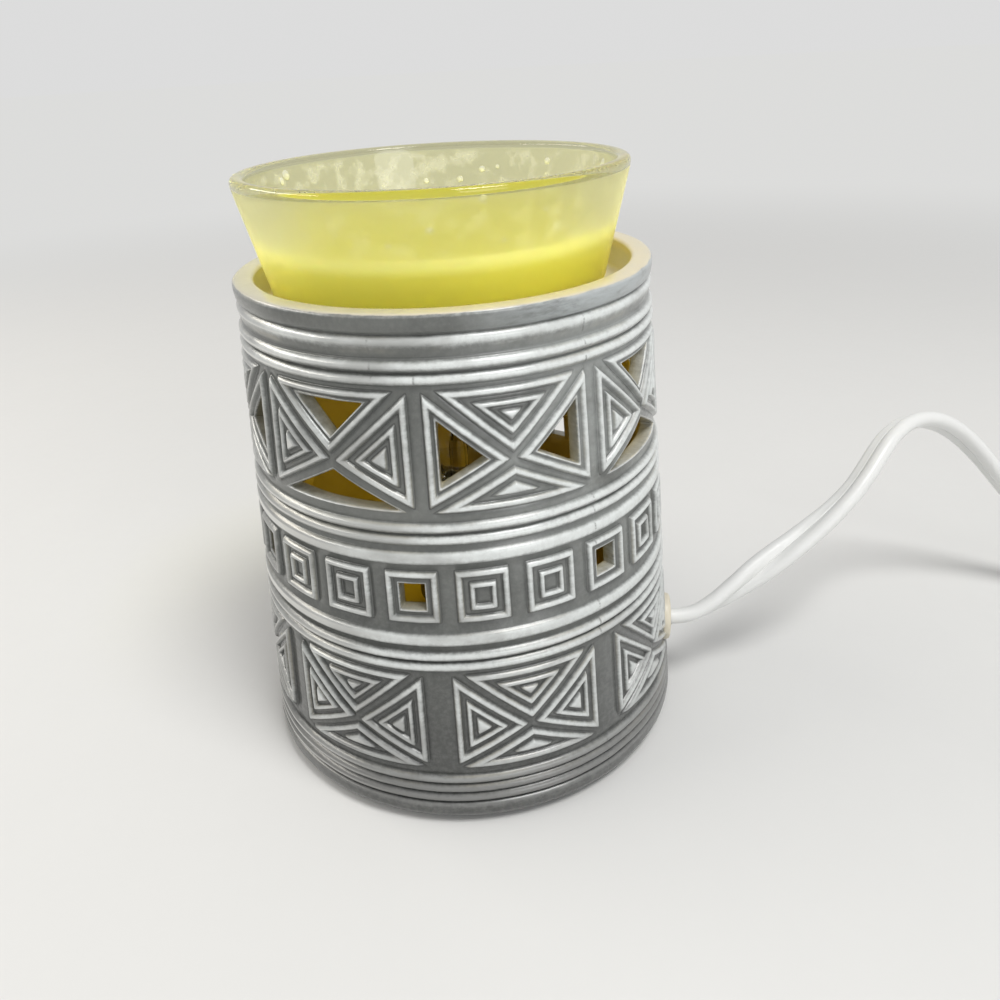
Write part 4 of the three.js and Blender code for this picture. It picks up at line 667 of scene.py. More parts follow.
coil_points = np.array([coil_point(t) for t in np.arange(0, COIL_TURNS + 1e-6, 1 / 36)])
coil_start = coil_points[0] - (CORD_WIDTH, 0, 0)
coil_end = coil_points[-1] - (CORD_WIDTH, 0, 0)
run_start = (SWITCH_END + JOIN_GAP, LEAD_ROUTE[-1][1], LEAD_ROUTE[-1][2])
run_end = (PLUG_TAIL + JOIN_GAP, coil_end[1], PLUG_MIDDLE)
feed_points = spline(slope(run_start, coil_start), 5)
tail_points = spline(slope(coil_end, run_end), 5)
run_points = np.vstack([feed_points, coil_points, tail_points])
run_sides = np.vstack(
    [
        twisted(feed_points, (0, 10, 45, 80, 90)),
        np.tile((0.0, 0.0, 1.0), (len(coil_points), 1)),
        twisted(tail_points, (90, 80, 45, 10, 0)),
    ]
)
run = cord("lead_to_plug", run_points, run_sides, ["cord_feed", "cord_coil", "cord_tail"])


def strap(path, closed):
    """A band of the tie's width and thickness along a flat path of (reach, height)."""
    line = np.array(path, float)
    if closed:
        ahead = np.roll(line, -1, axis=0) - np.roll(line, 1, axis=0)
    else:
        ahead = np.gradient(line, axis=0)
    ahead = unit(ahead)
    out = np.stack([ahead[:, 1], -ahead[:, 0]], 1)
    half = TIE_WIDTH / 2
    flat = half - TIE_EDGE
    section = [(-flat, -1), (flat, -1), (half, -0.6), (half, 0.6)]
    section += [(-across, -side) for across, side in section]
    points = []
    for spot, normal in zip(line, out):
        for across, side in section:
            reach, z = spot + normal * side * TIE_THICKNESS / 2
            points.append((reach, across, z))
    size = len(line), len(section)
    return points, quads(*size, True) if closed else capped(*size)


def make_tie():
    middle = TIE_THICKNESS / 2
    low_in, low_out = TIE_INNER - middle, TIE_OUTER + middle
    foot, top = middle, TIE_TOP + middle
    path = []
    for reach, z, start in (
        (low_out - TIE_ROUND, foot + TIE_ROUND, -90),
        (low_out - TIE_ROUND, top - TIE_ROUND, 0),
        (low_in + TIE_ROUND, top - TIE_ROUND, 90),
        (low_in + TIE_ROUND, foot + TIE_ROUND, 180),
    ):
        path += arc((reach, z), TIE_ROUND, radians(start), radians(start + 90), 7)
    points, faces = strap(path, True)
    lap = [(reach, top + 0.75) for reach in np.linspace(low_in + 4, low_out - 5, 9)]
    lap[0] = (lap[0][0], top + 0.35)
    more, laps = strap(lap, False)
    faces += [tuple(k + len(points) for k in face) for face in laps]
    points += more
    c, s = cos(TIE_ANGLE), sin(TIE_ANGLE)
    placed = [(COIL_X + x * c - y * s, COIL_Y + (x * s + y * c), z) for x, y, z in points]
    return mesh_object("tie_strap", placed, faces, tie_plastic, sharp=50)


tie = stand_for(make_tie(), "warmer_base", "tie_plastic", "coil_tie")

length_of(lead_points)
length_of(run_points)

# Ceramic body: one closed skin, drawn flat as u round the body and v up it


def inset(outline, distance):
    """A convex outline, drawn anticlockwise, moved in on every side."""
    p = np.array(outline, float)
    along = unit(np.roll(p, -1, axis=0) - p)
    start = p + distance * np.stack([-along[:, 1], along[:, 0]], 1)
    out = []
    for i in range(len(p)):
        before, a, b = start[i - 1], along[i - 1], along[i]
        apart = start[i] - before
        reach = (apart[0] * b[1] - apart[1] * b[0]) / (a[0] * b[1] - a[1] * b[0])
        out.append(before + a * reach)
    return np.array(out)


def side_lengths(outline):
    return norm(np.roll(outline, -1, axis=0) - np.array(outline), axis=1)


def loop(outline, distance):
    """Points round an inset outline with rounded corners, as many at every inset."""
    steps = [max(2, round(side / OUTLINE_STEP)) for side in side_lengths(outline)]
    p = inset(outline, distance)
    count = len(p)
    starts, ends, arcs = [], [], []
    for i in range(count):
        back, forth = p[i - 1] - p[i], p[(i + 1) % count] - p[i]
        long_back, long_forth = norm(back), norm(forth)
        back, forth = back / long_back, forth / long_forth
        half = 0.5 * acos(max(-1, min(1, back.dot(forth))))
        reach = min(CORNER_ROUND / tan(half), 0.4 * long_back, 0.4 * long_forth)
        first, last = p[i] + back * reach, p[i] + forth * reach
        arcs.append(bend(first, p[i], last, CORNER_STEPS + 1))
        starts.append(last)
        ends.append(first)
    points = []
    for i in range(count):
        points.extend(arcs[i])
        following = ends[(i + 1) % count]
        for k in range(1, steps[i]):
            points.append(starts[i] + (following - starts[i]) * k / steps[i])
    return np.array(points)


def within(points, outline):
    """Which points lie inside a closed outline."""
    x, y = points[:, 0], points[:, 1]
    hit = np.zeros(len(points), bool)
    for (ax, ay), (bx, by) in zip(outline, np.roll(outline, -1, axis=0)):
        if ay != by:
            crossing = (bx - ax) * (y - ay) / (by - ay) + ax
            hit ^= ((ay > y) != (by > y)) & (x < crossing)
    return hit


class Skin:
    """Points of the body with their height above the ground and their finish (relief, bare clay, and
    the inside that takes the amber painted light), and its faces.
    """

    def __init__(self):
        self.points, self.finish, self.faces = [], [], []

    def put(self, radius, turn, z, relief=0.0, bare=0.0, inner=0.0):
        self.points.append((radius * sin(turn), -radius * cos(turn), z))
        self.finish.append((relief, bare, inner))
        return len(self.points) - 1

    def ring(self, radius, z, *finish):
        turns = (2 * pi * k / SEGMENTS for k in range(SEGMENTS))
        return [self.put(radius, turn, z, *finish) for turn in turns]

    def strip(self, low, high):
        for k in range(len(low)):
            following = (k + 1) % len(low)
            self.faces.append((low[k], low[following], high[following], high[k]))


class Place:
    """Where a flat drawing lies on the body."""

    def __init__(self, turn, foot, middle):
        self.turn, self.foot, self.middle = turn, foot, middle

    def put(self, skin, points, height=0.0, bare=0.0, inner=0.0, relief=None):
        ids = []
        for u, v in points:
            z = self.foot + v
            turn = self.turn + u / raised(self.middle)
            washed = height / RELIEF if relief is None else relief
            ids.append(skin.put(ground(z) + height, turn, z, washed, bare, inner))
        return ids


def rib(start, width):
    """(inset, height) across a rounded rib, from dip to dip."""
    rises = [-DIP + (RELIEF + DIP) * (1 - abs(x) ** RIB_POWER) for x in RIB_SAMPLES]
    return [(start + width * (x + 1) / 2, rise) for x, rise in zip(RIB_SAMPLES, rises)]


def cell_border(half_width, low, high, steps):
    bottom = [(u, low) for u in np.linspace(-half_width, half_width, steps + 1)]
    rises = np.linspace(low, high, 2 + int((high - low) / 2.0))[1:-1]
    right = [(half_width, v) for v in rises]
    top = [(u, high) for u in np.linspace(half_width, -half_width, steps + 1)]
    left = [(-half_width, v) for v in rises[::-1]]
    return np.array(bottom + right + top + left)


def flat_cell(border, holes, spacing=OUTSIDE_SPACING):
    """Triangles of a cell between its border and the outlines in it."""
    lows, highs = border.min(0), border.max(0)
    grid = np.array(
        [
            (u, v)
            for u in np.arange(lows[0] + spacing / 2, highs[0], spacing)
            for v in np.arange(lows[1] + spacing / 2, highs[1], spacing)
        ]
    )
    keep = np.ones(len(grid), bool)
    for line in [border, *holes]:
        apart = norm(grid[:, None, :] - line[None, :, :], axis=2).min(1)
        keep &= apart > 0.45 * spacing
    for hole in holes:
        keep &= ~within(grid, hole)
    points = np.vstack([border, *holes, grid[keep]])
    edges, start = [], 0
    for line in [border, *holes]:
        count = len(line)
        edges.extend((start + k, start + (k + 1) % count) for k in range(count))
        start += count
    result = delaunay_2d_cdt([Vector(p) for p in points], edges, [], 0, 1e-7)
    origin = [ids[0] for ids in result[3]]
    triangles = np.array([[origin[k] for k in face] for face in result[2]])
    centres = points[triangles].mean(1)
    for hole in holes:
        triangles = triangles[~within(centres, hole)]
        centres = points[triangles].mean(1)
    return points, triangles


def add_cell(skin, place, cell, height=0.0, inner=0.0):
    points, triangles = cell
    ids = place.put(skin, points, height, 0, inner)
    skin.faces.extend(tuple(ids[k] for k in face) for face in triangles)


def loops(skin, place, outline, rows):
    """Loops inside an outline, joined to one another from the outside in."""
    last = place.put(skin, loop(outline, -DIP_REACH))
    for distance, *finish in rows:
        following = place.put(skin, loop(outline, distance), *finish)
        skin.strip(last, following)
        last = following
    return last


def carve(skin, place, outline, steps):
    """A relief inside an outline, with a floor or top inside its last step."""
    x, y = np.array(outline, float).T
    area = 0.5 * abs(np.dot(x, np.roll(y, -1)) - np.dot(y, np.roll(x, -1)))
    depth = 2 * area / side_lengths(outline).sum()
    distance, height = steps[-1]
    rows = list(steps)
    while distance + 0.9 < 0.92 * depth:
        distance += 0.8
        rows.append((distance, height))
    last = loops(skin, place, outline, rows)
    middle = place.put(skin, [inset(outline, distance).mean(0)], height)[0]
    for k in range(len(last)):
        skin.faces.append((last[k], last[(k + 1) % len(last)], middle))


def pierce(skin, place, outline, steps, distance):
    """As carve, but open in the middle, with the wall's thickness down to the inside."""
    rows = list(steps)
    lip = ((1, 0, 0, 0), (0.7, 0.12, 0, 0.5), (0.3, 0.1, 0.1, 0.75), (0, -0.15, 0.4, 0.5))
    for share, height, bare, relief in lip:
        rows.append((distance - share * WINDOW_LIP, height, bare, 0.0, relief))
    # The inner shares carry the inside's amber painted light part way up the window's wall
    wall = ((-0.4, 0.1, 0.5), (-0.5 * WALL, 0.14, 0.48), (-0.93 * WALL, 0.3, 0.45))
    for height, inner, relief in (*wall, (-WALL, 1.0, -WALL / RELIEF)):
        rows.append((distance, height, 0.0, inner, relief))
    loops(skin, place, outline, rows)


HALF = PANEL_WIDTH / 2
TRIANGLES = {
    "top": [(-HALF + 2.7, PANEL_HEIGHT), (0, CROSSING + 1.3), (HALF - 2.7, PANEL_HEIGHT)],
    "left": [(-HALF, PANEL_HEIGHT - 0.5), (-HALF, 1), (-0.95, CROSSING)],
    "right": [(HALF, PANEL_HEIGHT - 0.5), (0.95, CROSSING), (HALF, 1)],
    "foot": [(-HALF + 1.2, 0), (HALF - 1.2, 0), (0, CROSSING - 1.7)],
}
TRIANGLES = {name: inset(outline, -SPREAD) for name, outline in TRIANGLES.items()}
WINDOWS = (("left", "right"), ("top", "foot"))  # of every other panel in the pierced row
GROOVE = [(RING + DIP_REACH, 0.0), (INNER_RING_INSET - DIP_REACH, 0.0)]
INNER_GROOVE = [(INNER_RING_INSET + INNER_RING + DIP_REACH, 0.0), (CORE_INSET - DIP_REACH, 0.0)]
NESTED = rib(0, RING) + GROOVE + rib(INNER_RING_INSET, INNER_RING) + INNER_GROOVE
FOOT_NESTED = rib(0, RING) + [(RING + DIP_REACH, 0.0), (FOOT_CORE_INSET - DIP_REACH, 0.0)]
CORE_EDGE = ((0.0, -DIP), (0.18, 0.5 * RELIEF), (0.4, 0.85 * RELIEF), (0.7, RELIEF))
CORE = [(CORE_INSET + reach, height) for reach, height in CORE_EDGE]
FOOT_CORE = [(FOOT_CORE_INSET + reach, height) for reach, height in CORE_EDGE]


def window_inset(name):
    return FOOT_WINDOW_INSET if name == "foot" else WINDOW_INSET


def panel_border(foot, low, high):
    half_width = pi / PANELS * raised(foot + PANEL_HEIGHT / 2)
    return cell_border(half_width, low - foot, high - foot, SEGMENTS // PANELS)


def panel_place(index, foot):
    return Place((index + 0.5) * 2 * pi / PANELS, foot, foot + PANEL_HEIGHT / 2)


def panel_zone(skin, foot, low, high, pierced):
    """A row of panels on the outside, from one ring of the body to the next."""
    holes = [loop(outline, -DIP_REACH) for outline in TRIANGLES.values()]
    cell = flat_cell(panel_border(foot, low, high), holes)
    for i in range(PANELS):
        place = panel_place(i, foot)
        add_cell(skin, place, cell)
        open_ones = WINDOWS[i % 2] if pierced else ()
        for name, outline in TRIANGLES.items():
            if name in open_ones:
                steps = [] if name == "foot" else rib(0, RING)
                pierce(skin, place, outline, steps, window_inset(name))
            elif name == "foot":
                carve(skin, place, outline, FOOT_NESTED + FOOT_CORE)
            else:
                carve(skin, place, outline, NESTED + CORE)


def panel_zone_inside(skin, foot, low, high):
    """The inside of the pierced row of panels, with its windows left open."""
    border = panel_border(foot, low, high)
    cells = []
    for names in WINDOWS:
        holes = [loop(TRIANGLES[name], window_inset(name)) for name in names]
        cells.append(flat_cell(border, holes, INSIDE_SPACING))
    for i in range(PANELS):
        add_cell(skin, panel_place(i, foot), cells[i % 2], -WALL, 1.0)


CORNERS = ((-0.5, -0.5), (0.5, -0.5), (0.5, 0.5), (-0.5, 0.5))
SQUARE = inset([(x * SQUARE_WIDTH, y * SQUARE_HEIGHT) for x, y in CORNERS], -SPREAD)
SQUARE_GROOVE = [(SQUARE_RING + DIP_REACH, 0.0), (SQUARE_INNER_INSET - DIP_REACH, 0.0)]
SQUARE_FLOOR = [(SQUARE_INNER_INSET + SQUARE_INNER + DIP_REACH, 0.0)]


def square_zone(skin, low, high, within_wall):
    """The row of squares, on the outside or on the inside of the wall."""
    half_width = pi / SQUARES * raised(SQUARE_MIDDLE)
    border = cell_border(half_width, low - SQUARE_MIDDLE, high - SQUARE_MIDDLE, SEGMENTS // SQUARES)
    outer_cell = flat_cell(border, [loop(SQUARE, -DIP_REACH)])
    open_cell = flat_cell(border, [loop(SQUARE, SQUARE_WINDOW)])
    shut_cell = flat_cell(border, [])
    for i in range(SQUARES):
        place = Place(SQUARE_TURN + i * 2 * pi / SQUARES, SQUARE_MIDDLE, SQUARE_MIDDLE)
        pierced = i % PIERCED_EVERY == 0
        if within_wall:
            add_cell(skin, place, open_cell if pierced else shut_cell, -WALL, 1.0)
            continue
        add_cell(skin, place, outer_cell)
        if pierced:
            pierce(skin, place, SQUARE, rib(0, SQUARE_RING), SQUARE_WINDOW)
        else:
            nested = rib(0, SQUARE_RING) + SQUARE_GROOVE + rib(SQUARE_INNER_INSET, SQUARE_INNER)
            carve(skin, place, SQUARE, nested + SQUARE_FLOOR)


def make_body():
    skin = Skin()
    state = {}

    def to(radius, z, *finish):
        ring = skin.ring(radius, z, *finish)
        if "last" in state:
            skin.strip(state["last"], ring)
        else:
            state["first"] = ring
        state["last"] = ring

    def at_height(z, height):
        to(ground(z) + height, z, height / RELIEF)

    def ridge(foot, width, power, end=0.0, crest=0.5, low_power=None):
        for t in RIDGE_SAMPLES:
            away = (t - crest) / crest if t < crest else (t - crest) / (1 - crest)
            fall = low_power if low_power and t < crest else power
            at_height(foot + width * t, -DIP + (RELIEF + DIP) * (1 - abs(away) ** fall))
        at_height(foot + width, end)

    def ridges(foot, count):
        for k in range(count):
            ridge(foot + k * RIDGE_PITCH, RIDGE_PITCH, RIB_POWER, 0 if k == count - 1 else -DIP)

    def jump(z, radius, inner=0.0):
        state["last"] = skin.ring(radius, z, 0.0, 0.0, inner)

    to(SCREW_HOLE, UNDERSIDE_TOP, 0, 1)
    to(UNDERSIDE_RADIUS, UNDERSIDE_TOP, 0, 1)
    to(UNDERSIDE_RADIUS + 1.4, BODY_BOTTOM, 0, 1)
    # Round the base, less wash where it turns under, so darker there: partly the wash, partly painted
    # shade
    round_middle = BODY_BOTTOM + BASE_ROUND
    for turn in np.linspace(-pi / 2, 0, 7):
        to(
            raised(round_middle) - BASE_ROUND * (1 - cos(turn)),
            round_middle + BASE_ROUND * sin(turn),
            0.24 + 0.16 * cos(turn),
        )
    base_band = ((0.5, 1, 0.45), (0.8, 0.97, 0.7), (0.92, 0.8, 0.6), (0.98, 0.1, 0.0), (1, 0, 0))
    for share, height, washed in base_band:
        z = round_middle + (BASE_BAND_TOP - round_middle) * share
        to(ground(z) + RELIEF * height, z, washed)
    ridges(BASE_BAND_TOP, 3)
    panel_zone(skin, LOWER_PANEL_FOOT, BASE_BAND_TOP + 3 * RIDGE_PITCH, LOWER_RIDGES, False)
    jump(LOWER_RIDGES, ground(LOWER_RIDGES))
    ridges(LOWER_RIDGES, 2)
    at_height(LOWER_FLAT_BAND, 0)
    ridge(LOWER_FLAT_BAND, FLAT_BAND, FLAT_BAND_POWER)
    square_zone(skin, LOWER_FLAT_BAND + FLAT_BAND, UPPER_FLAT_BAND, False)
    jump(UPPER_FLAT_BAND, ground(UPPER_FLAT_BAND))
    ridge(UPPER_FLAT_BAND, FLAT_BAND, FLAT_BAND_POWER)
    at_height(MIDDLE_RIDGES, 0)
    ridges(MIDDLE_RIDGES, 2)
    panel_zone(skin, UPPER_PANEL_FOOT, MIDDLE_RIDGES + 2 * RIDGE_PITCH, UPPER_RIDGES, True)
    jump(UPPER_RIDGES, ground(UPPER_RIDGES))
    ridges(UPPER_RIDGES, 2)
    at_height(RIM_RIDGE_FOOT, 0)
    crest = {"crest": RIM_RIDGE_CREST, "low_power": RIM_RIDGE_FOOT_POWER}
    ridge(RIM_RIDGE_FOOT, RIM_RIDGE, RIM_RIDGE_POWER, **crest)
    to(LIP_RADIUS - 0.45, LIP_FOOT + 0.3, 0.05)
    to(LIP_RADIUS - 0.12, LIP_FOOT + 0.9, 0.1)
    to(LIP_RADIUS, LIP_FOOT + 1.8, 0.1)
    to(LIP_RADIUS, BODY_TOP - LIP_ROUND, 0.15)
    for turn, bare in ((0.35, 0.05), (0.75, 0.3), (1.0, 0.8), (1.25, 1.0), (pi / 2, 1.0)):
        inward = LIP_ROUND * (1 - cos(turn))
        to(LIP_RADIUS - inward, BODY_TOP - LIP_ROUND * (1 - sin(turn)), 0.3, bare)
    for turn in np.linspace(pi / 2, 0, 5):
        outward = LIP_ROUND * (1 - cos(turn))
        to(MOUTH_RADIUS + outward, BODY_TOP - LIP_ROUND * (1 - sin(turn)), 0, 1)
    for radius, z in (
        (MOUTH_RADIUS, SHELF_TOP + 1.2),
        (MOUTH_RADIUS - 0.4, SHELF_TOP + 0.3),
        (MOUTH_RADIUS - 1.2, SHELF_TOP),
        (SHELF_HOLE + 0.6, SHELF_TOP),
        (SHELF_HOLE, SHELF_TOP - 0.6),
        (SHELF_HOLE, SHELF_FOOT + 0.6),
    ):
        to(radius, z, 0, 1)
    to(SHELF_HOLE + 0.6, SHELF_FOOT, 0, 0.5, 0.5)
    to(inside(SHELF_FOOT) - SHELF_FILLET, SHELF_FOOT, 0, 0, 1)
    fillet = 0.3 * SHELF_FILLET
    to(inside(SHELF_FOOT - fillet) - fillet, SHELF_FOOT - fillet, 0, 0, 1)
    to(inside(SHELF_FOOT - SHELF_FILLET), SHELF_FOOT - SHELF_FILLET, 0, 0, 1)
    zone_foot = MIDDLE_RIDGES + 2 * RIDGE_PITCH
    panel_zone_inside(skin, UPPER_PANEL_FOOT, zone_foot, SHELF_FOOT - SHELF_FILLET)
    jump(zone_foot, inside(zone_foot), 1.0)
    to(inside(UPPER_FLAT_BAND), UPPER_FLAT_BAND, 0, 0, 1)
    square_foot = LOWER_FLAT_BAND + FLAT_BAND
    square_zone(skin, square_foot, UPPER_FLAT_BAND, True)
    jump(square_foot, inside(square_foot), 1.0)
    for z in np.linspace(square_foot, FLOOR_TOP + FLOOR_FILLET, 8)[1:]:
        to(inside(z), z, 0, 0, 1)
    to(inside(FLOOR_TOP) - 0.9, FLOOR_TOP + 0.9, 0, 0, 1)
    to(inside(FLOOR_TOP) - FLOOR_FILLET, FLOOR_TOP, 0, 0, 1)
    to(SCREW_HOLE, FLOOR_TOP, 0, 0, 1)
    skin.strip(state["last"], state["first"])
    points = []
    for x, y, z in skin.points:
        wobble = sum(depth * noise.noise(Vector((x, y, z)) * waves) for depth, waves in WAVES)
        far = hypot(x, y)
        points.append((x + x / far * wobble, y + y / far * wobble, z))
    layers = dict(zip(("relief", "bare", "inner"), zip(*skin.finish)))
    return mesh_object("body", points, skin.faces, ceramic, layers)


stand_for(make_body(), "warmer_base", "ceramic", "body_shell")

# Bushing and its boss on the wall
BUSHING_HEIGHT, BOSS_FOOT, BOSS_FACE = 19.1, 44.2, 47.6
BUSHING_BORE, SLEEVE, SLEEVE_END, FLANGE_FACE = 3.95, 4.8, 42.6, 49.5
boss_profile = soften([(5.0, BOSS_FOOT), (7.4, BOSS_FOOT), (6.6, BOSS_FACE), (5.0, BOSS_FACE)], 0.6)
bushing_profile = [(BUSHING_BORE, SLEEVE_END), (SLEEVE, SLEEVE_END), (SLEEVE, BOSS_FACE)]
bushing_profile += [(5.8, BOSS_FACE), (5.6, FLANGE_FACE - 0.1), (BUSHING_BORE, FLANGE_FACE)]
bushing_profile = soften(bushing_profile, 0.8, 6)
SIDEWAYS = Matrix.Translation((0, 0, BUSHING_HEIGHT * MM)) @ Matrix.Rotation(pi / 2, 4, "Y")
full_relief = {"relief": lambda r, z: 0.6, "bare": lambda r, z: 0.35, "inner": lambda r, z: 0.0}
boss = turned("lead_boss", boss_profile, ceramic, 64, values=full_relief)
boss.data.transform(SIDEWAYS)
stand_for(boss, "warmer_base", "ceramic")
bushing = turned("lead_bushing", bushing_profile, ivory_plastic, 64)
bushing.data.transform(SIDEWAYS)
stand_for(bushing, "warmer_base", "bushing_plastic", "cord_bushing")

# Dish, wax and the wax's splashes on the glass


def dish_outside(z):
    return DISH_FOOT_RADIUS + (DISH_RIM_RADIUS - DISH_FOOT_RADIUS) / DISH_HEIGHT * z


def dish_inside(z):
    return dish_outside(z) - DISH_WALL


def dish_profile():
    middle = (dish_outside(DISH_CORNER) - DISH_CORNER, DISH_CORNER)
    corner = arc(middle, DISH_CORNER, -pi / 2, 0, 8)
    middle = (dish_inside(DISH_CORNER) - DISH_HOLLOW, DISH_WALL + DISH_HOLLOW)
    inner = arc(middle, DISH_HOLLOW, 0, -pi / 2, 6)
    wall = [(dish_outside(z), z) for z in (8, 12, 16, 20, FROST_TOP - 0.2, FROST_TOP + 0.1)]
    rim_foot = FROST_TOP + 0.3
    rim_middle = (dish_outside(rim_foot) + dish_inside(rim_foot)) / 2
    rim = []
    for a in np.linspace(0, pi, 21):
        side = copysign(abs(cos(a)) ** 0.75, cos(a))
        rise = (DISH_HEIGHT - rim_foot) * sin(a) ** 0.75
        rim.append((rim_middle + DISH_WALL / 2 * side, rim_foot + rise))
    down = [(dish_inside(z), z) for z in (22.5, 20, WAX_TOP + 0.4, WAX_TOP - 0.6, 8)]
    return [*DISH_UNDERSIDE, *corner, *wall, *rim, *down, *inner, (0, DISH_WALL)]


def frosted(r, z):
    """The outside of the dish is frosted up to a line below its rim."""
    outer = r > dish_inside(max(z, DISH_CORNER)) + 0.6 * DISH_WALL or z < 1.0
    return 1.0 if outer and z < FROST_TOP else 0.0


def filmed(r, z):
    """The inside of the glass above the wax has a film of splashed wax."""
    return 1.0 if WAX_TOP < z < 23.5 and r < dish_inside(z) + 0.5 else 0.0


def lifted(profile, rise):
    return [(r, z + rise) for r, z in profile]


dish = turned(
    "glass_dish",
    lifted(dish_profile(), DISH_FOOT),
    dish_glass,
    DISH_SIDES,
    (DISH_X, 0),
    {"frost": lambda r, z: frosted(r, z - DISH_FOOT), "film": lambda r, z: filmed(r, z - DISH_FOOT)},
    None,
)
stand_for(dish, "wax_dish", "dish_glass", "dish")


def wax_profile():
    gap = -0.2  # the wax wets the glass
    foot = WAX_FOOT - 0.5
    middle = (dish_inside(DISH_CORNER) - gap - DISH_HOLLOW, foot + DISH_HOLLOW)
    corner = arc(middle, DISH_HOLLOW, -pi / 2, 0, 6)
    wall = [(dish_inside(z) - gap, z) for z in (8.0, WAX_TOP - 3.2, WAX_TOP - 1.4, WAX_TOP - 0.6)]
    top = dish_inside(WAX_TOP) - gap
    climb = [(d, WAX_SAG * (1 - exp(-d / 1.1))) for d in (0, 0.4, 0.9, 1.6, 2.8, 4.5)]
    surface = [(top - d, WAX_TOP - sag) for d, sag in climb]
    level = WAX_TOP - WAX_SAG
    return [(0, foot), *corner, *wall, *surface, (16, level - 0.1), (0, level - 0.12)]


def painted_glow_band(r, z):
    """1 on the wax's side just below its top, where it climbs the glass, for a painted glow of light.
    """
    out = min(1.0, max(0.0, (r - dish_inside(z) + 1.4) / 1.2))
    return out * min(1.0, max(0.0, (z - WAX_TOP + 3.2) / 1.8))


wax = turned(
    "wax_pool",
    lifted(wax_profile(), DISH_FOOT),
    wax_yellow,
    DISH_SIDES,
    (DISH_X, 0),
    {"edge": lambda r, z: painted_glow_band(r, z - DISH_FOOT)},
    60,
)
stand_for(wax, "wax_dish", "wax", "wax")


def splashes(count):
    """Small flat drops on the inside of the glass above the wax."""
    draw = random.Random(SEED)
    points, faces = [], []
    for _ in range(count):
        turn = draw.uniform(0, 2 * pi)
        z = WAX_TOP + 1.2 + 8.0 * draw.random() ** 1.3
        wide = draw.uniform(0.25, 0.8) * (1.0 if draw.random() < 0.85 else 1.5)
        tall = wide * draw.uniform(0.7, 1.3)
        radius = dish_inside(z)
        start = len(points)
        rings, sides = 3, 10
        for ring in range(rings):
            share = cos(ring / rings * pi / 2)
            depth = 0.28 * min(wide, 0.9) * sin(ring / rings * pi / 2) - 0.06
            for k in range(sides):
                a = 2 * pi * k / sides
                at = turn + share * wide * cos(a) / radius
                level = z + share * tall * sin(a)
                far = dish_inside(level) - depth
                points.append((DISH_X + far * cos(at), far * sin(at), DISH_FOOT + level))
        far = radius - 0.28 * min(wide, 0.9) + 0.06
        points.append((DISH_X + far * cos(turn), far * sin(turn), DISH_FOOT + z))
        hub = len(points) - 1
        faces.append(tuple(start + k for k in range(sides)))
        faces += quads(rings, sides, start=start)
        last = start + (rings - 1) * sides
        faces.extend((last + k, last + (k + 1) % sides, hub) for k in range(sides))
    return mesh_object("wax_splashes", points, faces, splash_glass)


stand_for(splashes(46), "wax_dish", "wax")

# Lamp and holder, seen through the windows and when the dish is off
holder_low, holder_high = (corner.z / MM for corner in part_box("lamp_holder"))
HOLDER, HOLDER_NECK, HOLDER_BORE, HOLDER_FLOOR = 12, 11.2, 7.65, 5
holder_profile = [
    (0, holder_low),
    (HOLDER - 1.2, holder_low),
    (HOLDER, holder_low + 1.2),
    (HOLDER, holder_high - 9),
    (HOLDER_NECK, holder_high - 8.4),
    (HOLDER_NECK, holder_high - 1.2),
    (HOLDER_NECK - 0.8, holder_high),
    (HOLDER_BORE, holder_high),
    (HOLDER_BORE, holder_low + HOLDER_FLOOR),
    (0, holder_low + HOLDER_FLOOR),
]
holder_profile = soften(holder_profile, 0.5)
holder = turned("holder_body", holder_profile, black_phenolic)
stand_for(holder, "warmer_base", "holder_phenolic", "lamp_holder")
glass_low, glass_high = (corner.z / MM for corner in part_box("bulb_glass"))
NECK, BELLY, GLASS = 4.65, 12.5, 0.8


def bulb_profile(thin):
    """The lamp's glass from neck to crown, thinner by thin."""
    middle = glass_high - BELLY
    neck_top = glass_low + 7.3
    points = [(NECK - thin, glass_low), (NECK - thin, neck_top)]
    flank = [(1.1, 0.16), (3.4, 0.42), (5.9, 0.66)]
    for out, rise in flank:
        points.append((NECK - thin + out, neck_top + (middle - neck_top) * rise))
    return points + arc((0, middle), BELLY - thin, -0.25, pi / 2, 10)


bulb = turned("lamp_bulb", bulb_profile(0) + bulb_profile(GLASS)[::-1], lamp_glass)
stand_for(bulb, "lamp", "lamp_glass", "bulb_glass")

# Feet
for k in range(4):
    low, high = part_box(f"foot_{k + 1}")
    middle = ((low.x + high.x) / 2 / MM, (low.y + high.y) / 2 / MM)
    profile = soften([(0, 0), (5, 0), (5, high.z / MM), (0, high.z / MM)], 0.45)
    piece = turned(f"rubber_foot_{k + 1}", profile, foot_rubber, 40, middle)
    stand_for(piece, "warmer_base", "foot_rubber", f"foot_{k + 1}")

